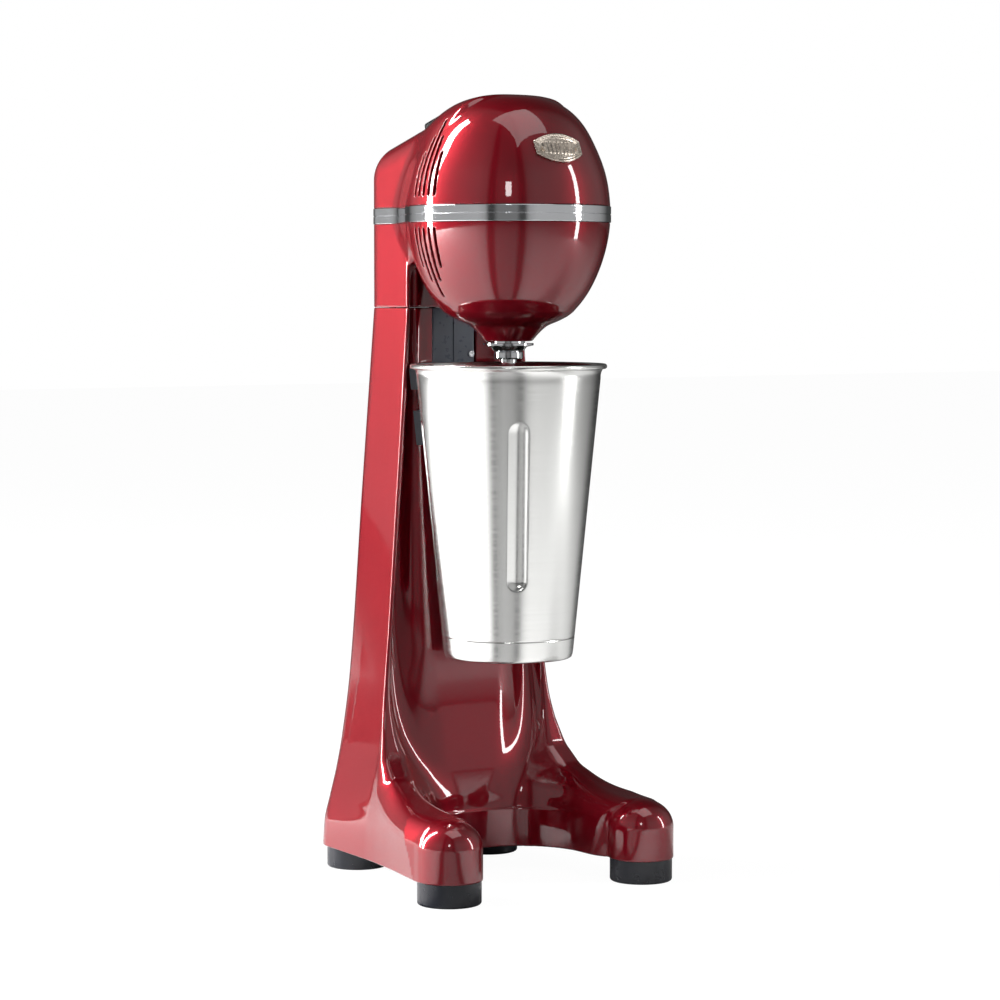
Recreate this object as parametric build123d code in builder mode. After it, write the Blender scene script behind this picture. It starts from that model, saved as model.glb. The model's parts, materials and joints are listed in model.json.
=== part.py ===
from build123d import *
import os
from math import cos, hypot, radians, sin

# Single-spindle drink mixer: a cast stand on four rubber feet, a ball-shaped
# motor head on top of it, and a steel cup hung on a bracket under the spindle.
# Millimetres, +Z up, the front faces -Y. The origin is on the floor, under the
# middle of the object's bounding box. Radii, widths and depths below are
# counted from the spindle axis, which stands SPINDLE_Y from the origin.

os.makedirs("parts", exist_ok=True)

# ---------------------------------------------------------------- dimensions
SPINDLE_Y = -28.4          # spindle axis, in front of the middle of the footprint
FLOOR_Z = 0.0
BASE_Z = 14.0              # underside of the casting, on top of the rubber feet
SEAM_Z = 352.0             # joint between the stand and the head casting
BAND_Z = 408.5             # middle of the trim band, where the head splits
BAND_HEIGHT = 9.7
BAND_PROUD = 0.4
BAND_DEPTH = 0.9
TOP_Z = 480.0
WALL = 3.0                 # castings
GAP = 0.3                  # between pieces that only pass each other
FLUSH = 0.05               # between curved pieces that are fitted together

# feet
FOOT_RADIUS = 19.2
FRONT_FOOT = (70.2, -42.0)
BACK_FOOT = (49.2, 97.8)
KNUCKLE_RADIUS = 20.2
KNUCKLE_SHOULDER_Z = 33.5
KNUCKLE_DOME = 17.0
BACK_CORNER_RADIUS = 21.2
FEET = {
    "front_left": (-FRONT_FOOT[0], FRONT_FOOT[1]),
    "front_right": (FRONT_FOOT[0], FRONT_FOOT[1]),
    "back_left": (-BACK_FOOT[0], BACK_FOOT[1]),
    "back_right": (BACK_FOOT[0], BACK_FOOT[1]),
}

# stand
NOTCH_HALF_WIDTH = 49.0    # open space between the front legs
NOTCH_DEPTH_Y = 39.0
NOTCH_CORNER = 44.0
BASE_TOP_Z = 34.0
BASE_INSET = 4.0
HOLLOW_FRONT_Y = 69.0
FLANGE_Y = 47.2            # front edges of the column's two flanges, at the seam
RECESS_BACK_Y = 63.0
RECESS_HALF_WIDTH = 38.8   # between the column's front flanges, at the seam
ARCH_TOP_Z = 377.0
PANEL_HALF_WIDTH = 16.0
PANEL_FACE_Y = 62.0
PANEL_THICKNESS = 2.6
PANEL_BOTTOM_Z = 152.0

# head
BALL_RADIUS = 61.7
BALL_CENTRE_Z = 410.0
HOOD_HALF_WIDTH = 42.5
HOOD_BACK_Y = 98.5
HOOD_CORNER = 16.0
HOOD_TOP_FRONT_Z = 474.8   # height of the sloping hood top above the spindle axis
HOOD_SLOPE = 0.272
NECK_BOTTOM_Z = 331.8
NECK_RADIUS = 14.4

# motor and spindle
SHAFT_RADIUS = 4.0
SPINDLE_RADIUS = 5.0
SPINDLE_BOTTOM_Z = 158.0
STATOR_RADIUS = 42.0
STATOR_BORE = 22.7
ARMATURE_RADIUS = 22.0
STACK_LOW_Z = 386.0
STACK_HIGH_Z = 424.0
COMMUTATOR_RADIUS = 11.0
BRUSH_Z = 440.0
BEARING_RADIUS = 11.0      # 8 x 22 x 7 ball bearing
BEARING_WIDTH = 7.0
LOWER_BEARING_Z = 339.0
UPPER_BEARING_Z = 451.0
DISC_RADIUS = 15.3
DISC_Z = 329.6
AGITATOR_RADIUS = 14.0
AGITATOR_Z = 160.5

# cup
CUP_BOTTOM_Z = 138.5
CUP_BOTTOM_RADIUS = 39.2
CUP_RIM_Z = 316.6
CUP_RIM_RADIUS = 60.1
CUP_BEAD = 1.6
CUP_WALL = 1.0
CUP_TAPER = (CUP_RIM_RADIUS - 2 * CUP_BEAD - CUP_BOTTOM_RADIUS) / (CUP_RIM_Z - CUP_BOTTOM_Z)
FLUTE_WIDTH = 12.0
FLUTE_DEPTH = 2.0
FLUTE_LOW_Z = 189.0
FLUTE_HIGH_Z = 278.0
FLUTE_BEARING = -27.0      # first flute, from straight ahead towards the left

# cup bracket
HOOK_Z = (302.0, 314.6)
CRADLE_Z = (268.0, 289.0)
BRACKET_HALF_ANGLE = 46.0
BRACKET_THICKNESS = 4.7
PLUNGER_Z = 278.5
PLUNGER_RADIUS = 3.0
PLUNGER_TRAVEL = 2.5

# switch on top of the hood
SWITCH_Y = 63.0
SWITCH_HALF_WIDTH = 12.5
SWITCH_LENGTH = 26.0
SWITCH_COVER_HEIGHT = 12.0

MOTOR_PLATE_Z = 378.0
MOTOR_PLATE_CIRCLE = 46.5
COVER_SCREWS = [(55.5 * sin(radians(a)), -55.5 * cos(radians(a))) for a in (-40, 40, -118, 118)]

SPINDLE = Axis((0, SPINDLE_Y, 0), (0, 0, 1))
SWITCH_PLANE = Plane(
    origin=(0, SPINDLE_Y + SWITCH_Y, HOOD_TOP_FRONT_Z - HOOD_SLOPE * SWITCH_Y),
    x_dir=(1, 0, 0),
    z_dir=(0, HOOD_SLOPE, 1),
)


# -------------------------------------------------------------------- helpers
def level(z):
    """Horizontal plane at height z, with its origin on the spindle axis."""
    return Plane(origin=(0, SPINDLE_Y, z))


def front(y):
    """Upright plane facing the front: x to the right, y up."""
    return Plane(origin=(0, SPINDLE_Y + y, 0), x_dir=(1, 0, 0), z_dir=(0, -1, 0))


def side(x):
    """Upright plane facing right: x to the back, y up."""
    return Plane(origin=(x, SPINDLE_Y, 0), x_dir=(0, 1, 0), z_dir=(1, 0, 0))


def upright(x, y):
    """Vertical axis at a place counted from the spindle axis."""
    return Axis((x, SPINDLE_Y + y, 0), (0, 0, 1))


def turned(outline):
    """A solid turned about the spindle axis from (radius, height) points."""
    with BuildPart() as piece:
        with BuildSketch(front(0)):
            with BuildLine():
                Polyline(*outline, close=True)
            make_face()
        revolve(axis=SPINDLE)
    return piece.part


def ring(inner, outer, low, high):
    """A plain ring round the spindle axis."""
    return turned([(inner, low), (outer, low), (outer, high), (inner, high)])


def screw(x, y, low, high, shank, head, head_height, head_up=False):
    """An upright pan head screw whose shank ends are low and high."""
    with BuildPart() as piece:
        with BuildSketch(level(low)):
            with Locations((x, y)):
                Circle(shank)
        extrude(amount=high - low)
        start = high if head_up else low - head_height
        with BuildSketch(level(start)):
            with Locations((x, y)):
                Circle(head)
        extrude(amount=head_height)
    return piece.part


def screw_to_back(x, z, face_y, length, shank, head, head_height):
    """A screw driven towards the back, with its head in front of face_y."""
    with BuildPart() as piece:
        with BuildSketch(front(face_y)):
            with Locations((x, z)):
                Circle(head)
        extrude(amount=head_height)
        with BuildSketch(front(face_y)):
            with Locations((x, z)):
                Circle(shank)
        extrude(amount=-length)
    return piece.part


def cup_radius(z):
    """Outer radius of the cup's wall at height z."""
    return CUP_BOTTOM_RADIUS + CUP_TAPER * (z - CUP_BOTTOM_Z)


# -------------------------------------------------------------- stand casting
# (height, front half width, front y, back half width, back y, back corner)
COLUMN = [
    (BASE_Z, 77.8, 39.0, 70.4, 119.0, 21.0),
    (30.0, 77.0, 39.5, 68.4, 119.0, 20.5),
    (45.0, 74.4, 41.0, 64.0, 118.6, 19.5),
    (62.0, 70.6, 43.0, 59.2, 118.0, 18.5),
    (83.0, 66.0, 44.6, 55.2, 117.0, 18.0),
    (123.0, 60.2, 46.0, 51.0, 114.0, 17.0),
    (235.0, 51.3, 46.6, 47.0, 106.2, 16.5),
    (SEAM_Z, HOOD_HALF_WIDTH, FLANGE_Y, HOOD_HALF_WIDTH, HOOD_BACK_Y, HOOD_CORNER),
]
# (y, inner x, outer x, inward lean of the sides, ridge height, ridge radius)
LEG = [
    (-42.0, 50.0, 90.4, 1.2, 50.5, 18.5),
    (-20.0, 49.6, 86.4, 1.5, 52.6, 16.0),
    (0.0, 48.0, 83.0, 2.5, 56.2, 13.5),
    (14.0, 44.0, 81.0, 5.0, 61.6, 11.0),
    (25.0, 38.0, 79.5, 8.0, 67.4, 9.0),
    (34.0, 32.0, 78.0, 10.0, 77.0, 8.0),
    (41.0, 28.0, 77.0, 13.0, 93.0, 6.0),
    (47.0, 26.0, 76.0, 15.0, 112.0, 4.0),
]
# (height, half width, front y, corner radius) of the rounded middle of the column
PILASTER = [
    (BASE_Z + 22.0, 43.0, 39.5, 24.0),
    (60.0, 42.0, 43.5, 24.0),
    (125.0, 44.0, 45.0, 22.0),
    (235.0, 39.5, 51.0, 13.0),
    (SEAM_Z, 35.5, 56.0, 8.0),
]


def column_section(z, front_x, front_y, back_x, back_y, corner, inset=0.0):
    """The column's plan outline at height z, moved inwards by inset."""
    with BuildSketch(level(z)) as outline:
        with BuildLine():
            Polyline(
                (-front_x + inset, front_y),
                (front_x - inset, front_y),
                (back_x - inset, back_y - inset),
                (-back_x + inset, back_y - inset),
                close=True,
            )
        make_face()
        fillet(outline.vertices().group_by(Axis.Y)[0], 2.0)
        fillet(outline.vertices().group_by(Axis.Y)[-1], corner - inset)
    return outline.sketch


def leg_section(y, inner_x, outer_x, lean, ridge, radius):
    """The right leg's upright section: leaning sides and a rounded ridge."""
    with BuildSketch(front(y)) as outline:
        with BuildLine():
            Polyline(
                (inner_x, BASE_Z),
                (outer_x, BASE_Z),
                (outer_x - lean, ridge),
                (max(inner_x + lean, outer_x - lean - 2 * radius - 1.5), ridge),
                close=True,
            )
        make_face()
        fillet(outline.vertices().group_by(Axis.Y)[-1], radius * 0.98)
    return outline.sketch


def pilaster_section(z, half_width, front_y, corner):
    """The column's rounded middle at height z."""
    with BuildSketch(level(z)) as outline:
        with BuildLine():
            Polyline(
                (-half_width, HOLLOW_FRONT_Y + 1),
                (-half_width, front_y),
                (half_width, front_y),
                (half_width, HOLLOW_FRONT_Y + 1),
                close=True,
            )
        make_face()
        fillet(outline.vertices().group_by(Axis.Y)[0], corner)
    return outline.sketch


def base_outline(inset=0.0, height=BASE_Z):
    """The horseshoe footprint of the base, moved inwards by inset."""
    with BuildSketch(level(height)) as outline:
        with Locations((FRONT_FOOT[0], FRONT_FOOT[1]), (-FRONT_FOOT[0], FRONT_FOOT[1])):
            Circle(KNUCKLE_RADIUS - inset)
        with Locations((BACK_FOOT[0], BACK_FOOT[1]), (-BACK_FOOT[0], BACK_FOOT[1])):
            Circle(BACK_CORNER_RADIUS - inset)
        make_hull()
        notch_width = NOTCH_HALF_WIDTH + inset
        notch_back = NOTCH_DEPTH_Y + inset
        with BuildSketch(mode=Mode.PRIVATE) as notch:
            with Locations((0, notch_back - 75)):
                Rectangle(2 * notch_width, 150)
            fillet(notch.vertices().group_by(Axis.Y)[-1], NOTCH_CORNER + inset)
        add(notch.sketch, mode=Mode.SUBTRACT)
        front_corners = outline.vertices().group_by(Axis.Y)[0]
        toes = front_corners.filter_by(lambda corner: abs(corner.X) < notch_width + 1)
        fillet(toes, 0.97 * KNUCKLE_RADIUS - inset)
    return outline.sketch


with BuildPart() as stand_outside:
    loft(sections=[column_section(*row) for row in COLUMN], ruled=True)
    # recess between the flanges, closed at the bottom by the legs
    with BuildSketch(level(SEAM_Z + 1)):
        with Locations((0, RECESS_BACK_Y - 20)):
            Rectangle(2 * RECESS_HALF_WIDTH, 40)
    with BuildSketch(level(105)):
        with Locations((0, RECESS_BACK_Y - 20)):
            Rectangle(2 * 57.5, 40)
    with BuildSketch(level(60)):
        with Locations((0, RECESS_BACK_Y - 34)):
            Rectangle(2 * 50.0, 40)
    loft(ruled=True, mode=Mode.SUBTRACT)
    loft(sections=[pilaster_section(*row) for row in PILASTER], ruled=True)
    with BuildPart(mode=Mode.PRIVATE) as base:
        extrude(base_outline(), amount=BASE_TOP_Z - BASE_Z)
        fillet(base.edges().group_by(Axis.Z)[-1], 5.0)
    add(base.part)
    loft(sections=[leg_section(*row) for row in LEG], ruled=True)
    with BuildSketch(front(FRONT_FOOT[1])):
        with BuildLine():
            Line((FRONT_FOOT[0], BASE_Z), (FRONT_FOOT[0] + KNUCKLE_RADIUS, BASE_Z))
            Line(
                (FRONT_FOOT[0] + KNUCKLE_RADIUS, BASE_Z),
                (FRONT_FOOT[0] + KNUCKLE_RADIUS, KNUCKLE_SHOULDER_Z),
            )
            EllipticalCenterArc(
                (FRONT_FOOT[0], KNUCKLE_SHOULDER_Z), KNUCKLE_RADIUS, KNUCKLE_DOME, 0, arc_size=90
            )
            Line((FRONT_FOOT[0], KNUCKLE_SHOULDER_Z + KNUCKLE_DOME), (FRONT_FOOT[0], BASE_Z))
        make_face()
    revolve(axis=upright(*FRONT_FOOT))
    mirror(about=Plane.YZ)


def hollow_section(z, front_x, front_y, back_x, back_y, corner):
    """The column's plan outline inside its walls, behind its front wall."""
    share = (HOLLOW_FRONT_Y - front_y) / (back_y - front_y)
    wall_x = front_x + (back_x - front_x) * share
    return column_section(z, wall_x, HOLLOW_FRONT_Y, back_x, back_y, corner, inset=WALL)


CUP_CLEARANCE = turned([
    (0, 128), (cup_radius(128) + 3.5, 128), (CUP_RIM_RADIUS + 2.4, CUP_RIM_Z - 6),
    (CUP_RIM_RADIUS + 3.2, ARCH_TOP_Z + 1), (0, ARCH_TOP_Z + 1),
])
PLATE_BOSSES = [(62.0, 8.0), (-62.0, 8.0), (22.0, 73.0), (-22.0, 73.0)]
LUGS = [(33.5, 80.0), (-33.5, 80.0)]
LUG_LOW_Z = SEAM_Z - 12
LUG_HIGH_Z = SEAM_Z + 10
GLAND_Z = 44.0

with BuildPart() as stand_hollow:
    loft(sections=[hollow_section(*row) for row in COLUMN], ruled=True)
    extrude(base_outline(BASE_INSET), amount=18)
    with BuildPart(mode=Mode.PRIVATE) as leg_hollow:
        loft(
            sections=[
                leg_section(y, inner + 4, outer - 4, lean, ridge - 5, radius - 5)
                for y, inner, outer, lean, ridge, radius in LEG[1:6]
            ],
            ruled=True,
        )
        mirror(about=Plane.YZ)
    add(leg_hollow.part)
    # material left inside: knuckles, bosses for the screws, lugs at the seam
    for x, y in FEET.values():
        boss = KNUCKLE_RADIUS + 1 if y < 0 else 8.0
        with BuildSketch(level(BASE_Z + 2.4 * (y > 0))):
            with Locations((x, y)):
                Circle(boss)
        extrude(amount=34, mode=Mode.SUBTRACT)
    for x in (-BACK_FOOT[0], BACK_FOOT[0]):
        toward = 1 if x > 0 else -1
        with BuildSketch(level(BASE_Z + 2.4)):
            with Locations(Location((x + toward * 9, BACK_FOOT[1] + 9), toward * 45)):
                Rectangle(24, 4)
        extrude(amount=34, mode=Mode.SUBTRACT)
    with BuildSketch(level(BASE_Z + 2.4)):
        with Locations(*PLATE_BOSSES[:2]):
            Circle(5)
    extrude(amount=45, mode=Mode.SUBTRACT)
    with BuildSketch(level(BASE_Z + 2.4)):
        with Locations(*PLATE_BOSSES[2:]):
            Circle(5)
    extrude(amount=20, mode=Mode.SUBTRACT)
    with BuildSketch(level(LUG_LOW_Z)):
        with Locations(*LUGS):
            Rectangle(14, 14)
    extrude(amount=12, mode=Mode.SUBTRACT)
    with BuildSketch(front(105)):
        with Locations((0, GLAND_Z)):
            Circle(12)
    extrude(amount=-14, mode=Mode.SUBTRACT)

HOOK_SCREWS = [(-8.0, 308.0), (8.0, 308.0), (-8.0, 272.5), (8.0, 272.5)]
PANEL_SCREWS = [(13.2, 323.0), (-13.2, 172.0), (13.2, 172.0)]

with BuildPart() as stand_casting:
    add(stand_outside.part)
    add(stand_hollow.part, mode=Mode.SUBTRACT)
    add(CUP_CLEARANCE, mode=Mode.SUBTRACT)
    # channel that holds the front panel
    channel_back = PANEL_FACE_Y + PANEL_THICKNESS + 0.1
    with BuildSketch(front(channel_back)):
        with Locations((0, (PANEL_BOTTOM_Z + SEAM_Z) / 2)):
            Rectangle(2 * PANEL_HALF_WIDTH + 2 * GAP, SEAM_Z - PANEL_BOTTOM_Z + 1)
    extrude(amount=30, mode=Mode.SUBTRACT)
    # tapped holes for the feet and the base plate
    for x, y in FEET.values():
        with BuildSketch(level(BASE_Z - 1)):
            with Locations((x, y)):
                Circle(2.5)
        extrude(amount=24, mode=Mode.SUBTRACT)
    with BuildSketch(level(BASE_Z - 1)):
        with Locations(*PLATE_BOSSES):
            Circle(1.8)
    extrude(amount=14, mode=Mode.SUBTRACT)
    with BuildSketch(level(LUG_LOW_Z - 1)):
        with Locations(*LUGS):
            Circle(3.1)
    extrude(amount=20, mode=Mode.SUBTRACT)
    # holes through the front wall for the bracket screws and the plunger
    with BuildSketch(front(channel_back - 2)):
        with Locations(*HOOK_SCREWS):
            Circle(2.0)
        with Locations(*PANEL_SCREWS[1:], PANEL_SCREWS[0]):
            Circle(1.3)
        with Locations((0, PLUNGER_Z)):
            Circle(PLUNGER_RADIUS + GAP)
    extrude(amount=-10, mode=Mode.SUBTRACT)
    # pocket and hole for the cord gland
    with BuildSketch(front(115.6)):
        with Locations((0, GLAND_Z)):
            Circle(9.5)
    extrude(amount=-6, mode=Mode.SUBTRACT)
    with BuildSketch(front(100)):
        with Locations((0, GLAND_Z)):
            Circle(6.1)
    extrude(amount=-20, mode=Mode.SUBTRACT)
stand_casting.part.label = "stand_casting"
export_step(stand_casting.part, "parts/stand_casting.step")

# ---------------------------------------------------------------------- head
BALL_POINTS = [(36.7, 471.6), (52.5, 449.9), (BALL_RADIUS, BALL_CENTRE_Z), (56.4, 377.0), (38.1, 348.0)]


def ball(inset=0.0):
    """The motor head's ball, moved inwards by inset; negative moves it outwards."""
    moved = [(0, TOP_Z - inset)]
    for radius, height in BALL_POINTS:
        reach = hypot(radius, height - BALL_CENTRE_Z)
        share = (reach - inset) / reach
        moved.append((radius * share, BALL_CENTRE_Z + (height - BALL_CENTRE_Z) * share))
    with BuildPart() as piece:
        with BuildSketch(front(0)):
            with BuildLine():
                Spline(*moved, tangents=[(1, 0), (-0.82, -0.57)])
                if inset > 0:
                    Polyline(moved[-1], (0, moved[-1][1]), moved[0])
                else:
                    Polyline(
                        moved[-1],
                        (23.5, 341.0),
                        (17.0, 335.0),
                        (NECK_RADIUS, NECK_BOTTOM_Z),
                        (0, NECK_BOTTOM_Z),
                        moved[0],
                    )
            make_face()
        revolve(axis=SPINDLE)
    return piece.part


def hood_top(y):
    """Height of the hood's sloping top."""
    return HOOD_TOP_FRONT_Z - HOOD_SLOPE * y


def hood(inset=0.0):
    """The hood that joins the ball to the column, moved inwards by inset."""
    back = HOOD_BACK_Y - inset
    inside = inset > 0
    front_foot = HOLLOW_FRONT_Y if inside else FLANGE_Y
    low = SEAM_Z - 1 if inside else SEAM_Z
    step = ARCH_TOP_Z + WALL + 0.5 if inside else 415.0
    with BuildPart() as piece:
        with BuildSketch(side(0)):
            with BuildLine():
                Polyline(
                    (front_foot, low),
                    (back, low),
                    (back, hood_top(back) - inset),
                    (10, hood_top(10) - inset),
                    (10, step + 25 * (not inside)),
                    (front_foot, step),
                    close=True,
                )
            make_face()
        extrude(amount=HOOD_HALF_WIDTH - inset, both=True)
        rim = piece.edges().filter_by(lambda e: abs(abs(e.center().X) - HOOD_HALF_WIDTH + inset) < 0.01)
        rim = rim.filter_by(lambda e: e.center().Y > SPINDLE_Y + back - 1 or e.center().Z > 440)
        rim = rim.filter_by(lambda e: e.center().Y > SPINDLE_Y + 12)
        top_back = piece.edges().filter_by(Axis.X).filter_by(
            lambda e: e.center().Y > SPINDLE_Y + back - 1 and e.center().Z > SEAM_Z + 10
        )
        fillet(rim + top_back, HOOD_CORNER - inset)
    return piece.part


VENT_BEARINGS = [-100.0, -95.0, -90.0, -85.0, -80.0]
VENT_TOPS = [445.0, 454.5, 464.0, 454.5, 445.0]
VENT_BOTTOMS = [376.5, 368.5, 359.0, 368.5, 376.5]
VENT_WIDTH = 2.0


def vents():
    """Slots through both sides of the ball, above and below the trim band."""
    with BuildPart() as slots:
        for hand in (-1, 1):
            for bearing, high, low in zip(VENT_BEARINGS, VENT_TOPS, VENT_BOTTOMS):
                turn = hand * bearing - 90
                outward = Vector(sin(radians(hand * bearing)), -cos(radians(hand * bearing)), 0)
                for bottom, top in ((BAND_Z + 10.5, high), (low, BAND_Z - 8.5)):
                    place = Vector(0, SPINDLE_Y, (bottom + top) / 2) + outward * 60
                    with Locations(Location(place, (0, 0, turn))):
                        Box(40, VENT_WIDTH, top - bottom)
    return slots.part


def band_outline(offset_by):
    """The head's plan outline at the trim band, moved outwards."""
    with BuildSketch(level(BAND_Z - BAND_HEIGHT / 2)) as outline:
        Circle(BALL_RADIUS + 0.1)
        with Locations((0, HOOD_BACK_Y / 2)):
            Rectangle(2 * HOOD_HALF_WIDTH, HOOD_BACK_Y)
        fillet(outline.vertices().group_by(Axis.Y)[-1], HOOD_CORNER)
        offset(amount=offset_by, kind=Kind.INTERSECTION)
    return outline.sketch


with BuildPart() as head_solid:
    add(hood())
    # the recess of the column runs up into the hood and ends in an arch
    with BuildSketch(front(RECESS_BACK_Y)):
        with Locations((0, ARCH_TOP_Z - 40)):
            RectangleRounded(2 * RECESS_HALF_WIDTH, 80, 12)
    extrude(amount=40, mode=Mode.SUBTRACT)
    with BuildSketch(level(SEAM_Z)) as head_pilaster:
        with Locations((0, 64)):
            Rectangle(2 * PILASTER[-1][1], 2 * (64 - PILASTER[-1][2]))
        fillet(head_pilaster.vertices().group_by(Axis.Y)[0], PILASTER[-1][3])
    extrude(amount=ARCH_TOP_Z - SEAM_Z + 1)
    add(CUP_CLEARANCE, mode=Mode.SUBTRACT)
    add(ball())

with BuildPart() as head_hollow:
    add(ball(WALL))
    add(hood(WALL))
    with BuildSketch(level(SEAM_Z - 1)):
        with Locations(*LUGS):
            Rectangle(14, 14)
    extrude(amount=LUG_HIGH_Z - SEAM_Z + 1, mode=Mode.SUBTRACT)
    # posts for the motor and for the cover screws
    with BuildSketch(level(345)):
        with PolarLocations(MOTOR_PLATE_CIRCLE, 4, start_angle=45):
            Circle(4.5)
    extrude(amount=MOTOR_PLATE_Z - 345, mode=Mode.SUBTRACT)
    with BuildSketch(level(BAND_Z - 10)):
        with Locations(*COVER_SCREWS):
            Circle(4.5)
    extrude(amount=24, mode=Mode.SUBTRACT)

with BuildPart() as head_shell:
    add(head_solid.part)
    add(head_hollow.part, mode=Mode.SUBTRACT)
    add(vents(), mode=Mode.SUBTRACT)
    # groove that the trim band lies in
    with BuildPart(mode=Mode.PRIVATE) as groove:
        extrude(band_outline(6), amount=BAND_HEIGHT + 2 * FLUSH)
        extrude(band_outline(-BAND_DEPTH - FLUSH), amount=BAND_HEIGHT + 2 * FLUSH, mode=Mode.SUBTRACT)
    add(groove.part, mode=Mode.SUBTRACT)
    # bore for the seal and the lower bearing
    add(
        turned([
            (0, 330), (10.7, 330), (10.7, 338), (7, 338), (7, LOWER_BEARING_Z),
            (BEARING_RADIUS + FLUSH, LOWER_BEARING_Z), (BEARING_RADIUS + FLUSH, 352), (0, 352),
        ]),
        mode=Mode.SUBTRACT,
    )
    with BuildSketch(level(SEAM_Z - 1)):
        with Locations(*LUGS):
            Circle(3.1)
    extrude(amount=20, mode=Mode.SUBTRACT)
    with BuildSketch(level(MOTOR_PLATE_Z - 12)):
        with PolarLocations(MOTOR_PLATE_CIRCLE, 4, start_angle=45):
            Circle(1.7)
    extrude(amount=13, mode=Mode.SUBTRACT)
    with BuildSketch(level(BAND_Z - 12)):
        with Locations(*COVER_SCREWS):
            Circle(1.7)
    extrude(amount=22, mode=Mode.SUBTRACT)
    with BuildSketch(level(BAND_Z - 13)):
        with Locations(*COVER_SCREWS):
            Circle(3.5)
    extrude(amount=3, mode=Mode.SUBTRACT)
    # opening for the switch housing
    with BuildSketch(SWITCH_PLANE.offset(-12)):
        Rectangle(15.6, 22.2)
    extrude(amount=24, mode=Mode.SUBTRACT)

with BuildPart() as head_casting:
    add(head_shell.part)
    split(bisect_by=Plane.XY.offset(BAND_Z), keep=Keep.BOTTOM)
head_casting.part.label = "head_casting"
export_step(head_casting.part, "parts/head_casting.step")

with BuildPart() as top_cover:
    add(head_shell.part)
    split(bisect_by=Plane.XY.offset(BAND_Z), keep=Keep.TOP)
top_cover.part.label = "top_cover"
export_step(top_cover.part, "parts/top_cover.step")

with BuildPart() as trim_band:
    extrude(band_outline(BAND_PROUD), amount=BAND_HEIGHT)
    extrude(band_outline(-BAND_DEPTH), amount=BAND_HEIGHT, mode=Mode.SUBTRACT)
trim_band.part.label = "trim_band"
export_step(trim_band.part, "parts/trim_band.step")

# ---------------------------------------------------------------------- badge
BADGE_Z = 446.5
BADGE_WIDTH = 32.0
BADGE_HEIGHT = 17.0

with BuildPart() as badge_zone:
    add(ball(-2.2))
    add(ball(-0.1), mode=Mode.SUBTRACT)

with BuildPart() as badge:
    with BuildSketch(front(20)):
        with BuildLine():
            end = BADGE_WIDTH / 2
            corner = BADGE_HEIGHT * 0.23
            crown = BADGE_HEIGHT / 2
            ThreePointArc((-end, BADGE_Z + corner), (0, BADGE_Z + crown), (end, BADGE_Z + corner))
            Line((end, BADGE_Z + corner), (end, BADGE_Z - corner))
            ThreePointArc((end, BADGE_Z - corner), (0, BADGE_Z - crown), (-end, BADGE_Z - corner))
            Line((-end, BADGE_Z - corner), (-end, BADGE_Z + corner))
        make_face()
    extrude(amount=90)
    add(badge_zone.part, mode=Mode.INTERSECT)
    with BuildSketch(front(0)):
        with Locations((-BADGE_WIDTH / 2 + 4, BADGE_Z), (BADGE_WIDTH / 2 - 4, BADGE_Z)):
            Circle(0.95)
    extrude(amount=70, mode=Mode.SUBTRACT)
badge.part.label = "badge"
export_step(badge.part, "parts/badge.step")

with BuildPart() as badge_pins:
    with BuildSketch(front(0)):
        with Locations((-BADGE_WIDTH / 2 + 4, BADGE_Z), (BADGE_WIDTH / 2 - 4, BADGE_Z)):
            Circle(0.9)
    extrude(amount=70)
    with BuildPart(mode=Mode.PRIVATE) as pin_zone:
        add(ball(-2.7))
        add(ball(-0.15), mode=Mode.SUBTRACT)
    add(pin_zone.part, mode=Mode.INTERSECT)
badge_pins.part.label = "badge_pins"
export_step(badge_pins.part, "parts/badge_pins.step")

# ----------------------------------------------------------------------- feet
for place, (x, y) in FEET.items():
    with BuildPart() as foot:
        with BuildSketch(level(FLOOR_Z)):
            with Locations((x, y)):
                Circle(FOOT_RADIUS)
        extrude(amount=BASE_Z - FLOOR_Z)
        fillet(foot.edges().group_by(Axis.Z)[0], 1.6)
        with BuildSketch(level(FLOOR_Z)):
            with Locations((x, y)):
                Circle(5.6)
        extrude(amount=6, mode=Mode.SUBTRACT)
        with BuildSketch(level(FLOOR_Z)):
            with Locations((x, y)):
                Circle(2.7)
        extrude(amount=BASE_Z, mode=Mode.SUBTRACT)
    foot.part.label = f"foot_{place}"
    export_step(foot.part, f"parts/foot_{place}.step")

with BuildPart() as foot_screws:
    for x, y in FEET.values():
        add(screw(x, y, 6, 34, shank=2.45, head=4.8, head_height=3))
foot_screws.part.label = "foot_screws"
export_step(foot_screws.part, "parts/foot_screws.step")

# ----------------------------------------------------------------- base plate
PLATE_LOW_Z = BASE_Z + 0.1
with BuildPart() as base_plate:
    extrude(base_outline(BASE_INSET + GAP, PLATE_LOW_Z), amount=2.2)
    with BuildSketch(level(PLATE_LOW_Z)):
        with Locations((FRONT_FOOT[0], FRONT_FOOT[1]), (-FRONT_FOOT[0], FRONT_FOOT[1])):
            Circle(KNUCKLE_RADIUS + 1 + GAP)
    extrude(amount=2.2, mode=Mode.SUBTRACT)
    with BuildSketch(level(PLATE_LOW_Z)):
        with Locations((BACK_FOOT[0], BACK_FOOT[1]), (-BACK_FOOT[0], BACK_FOOT[1])):
            Circle(2.8)
        with Locations(*PLATE_BOSSES):
            Circle(2.0)
    extrude(amount=2.2, mode=Mode.SUBTRACT)
    with BuildSketch(level(PLATE_LOW_Z)):
        with Locations((0, 58)):
            SlotOverall(50, 4)
        with Locations((0, 92)):
            SlotOverall(50, 4)
        with Locations((0, 100)):
            SlotOverall(50, 4)
    extrude(amount=2.2, mode=Mode.SUBTRACT)
base_plate.part.label = "base_plate"
export_step(base_plate.part, "parts/base_plate.step")

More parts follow.
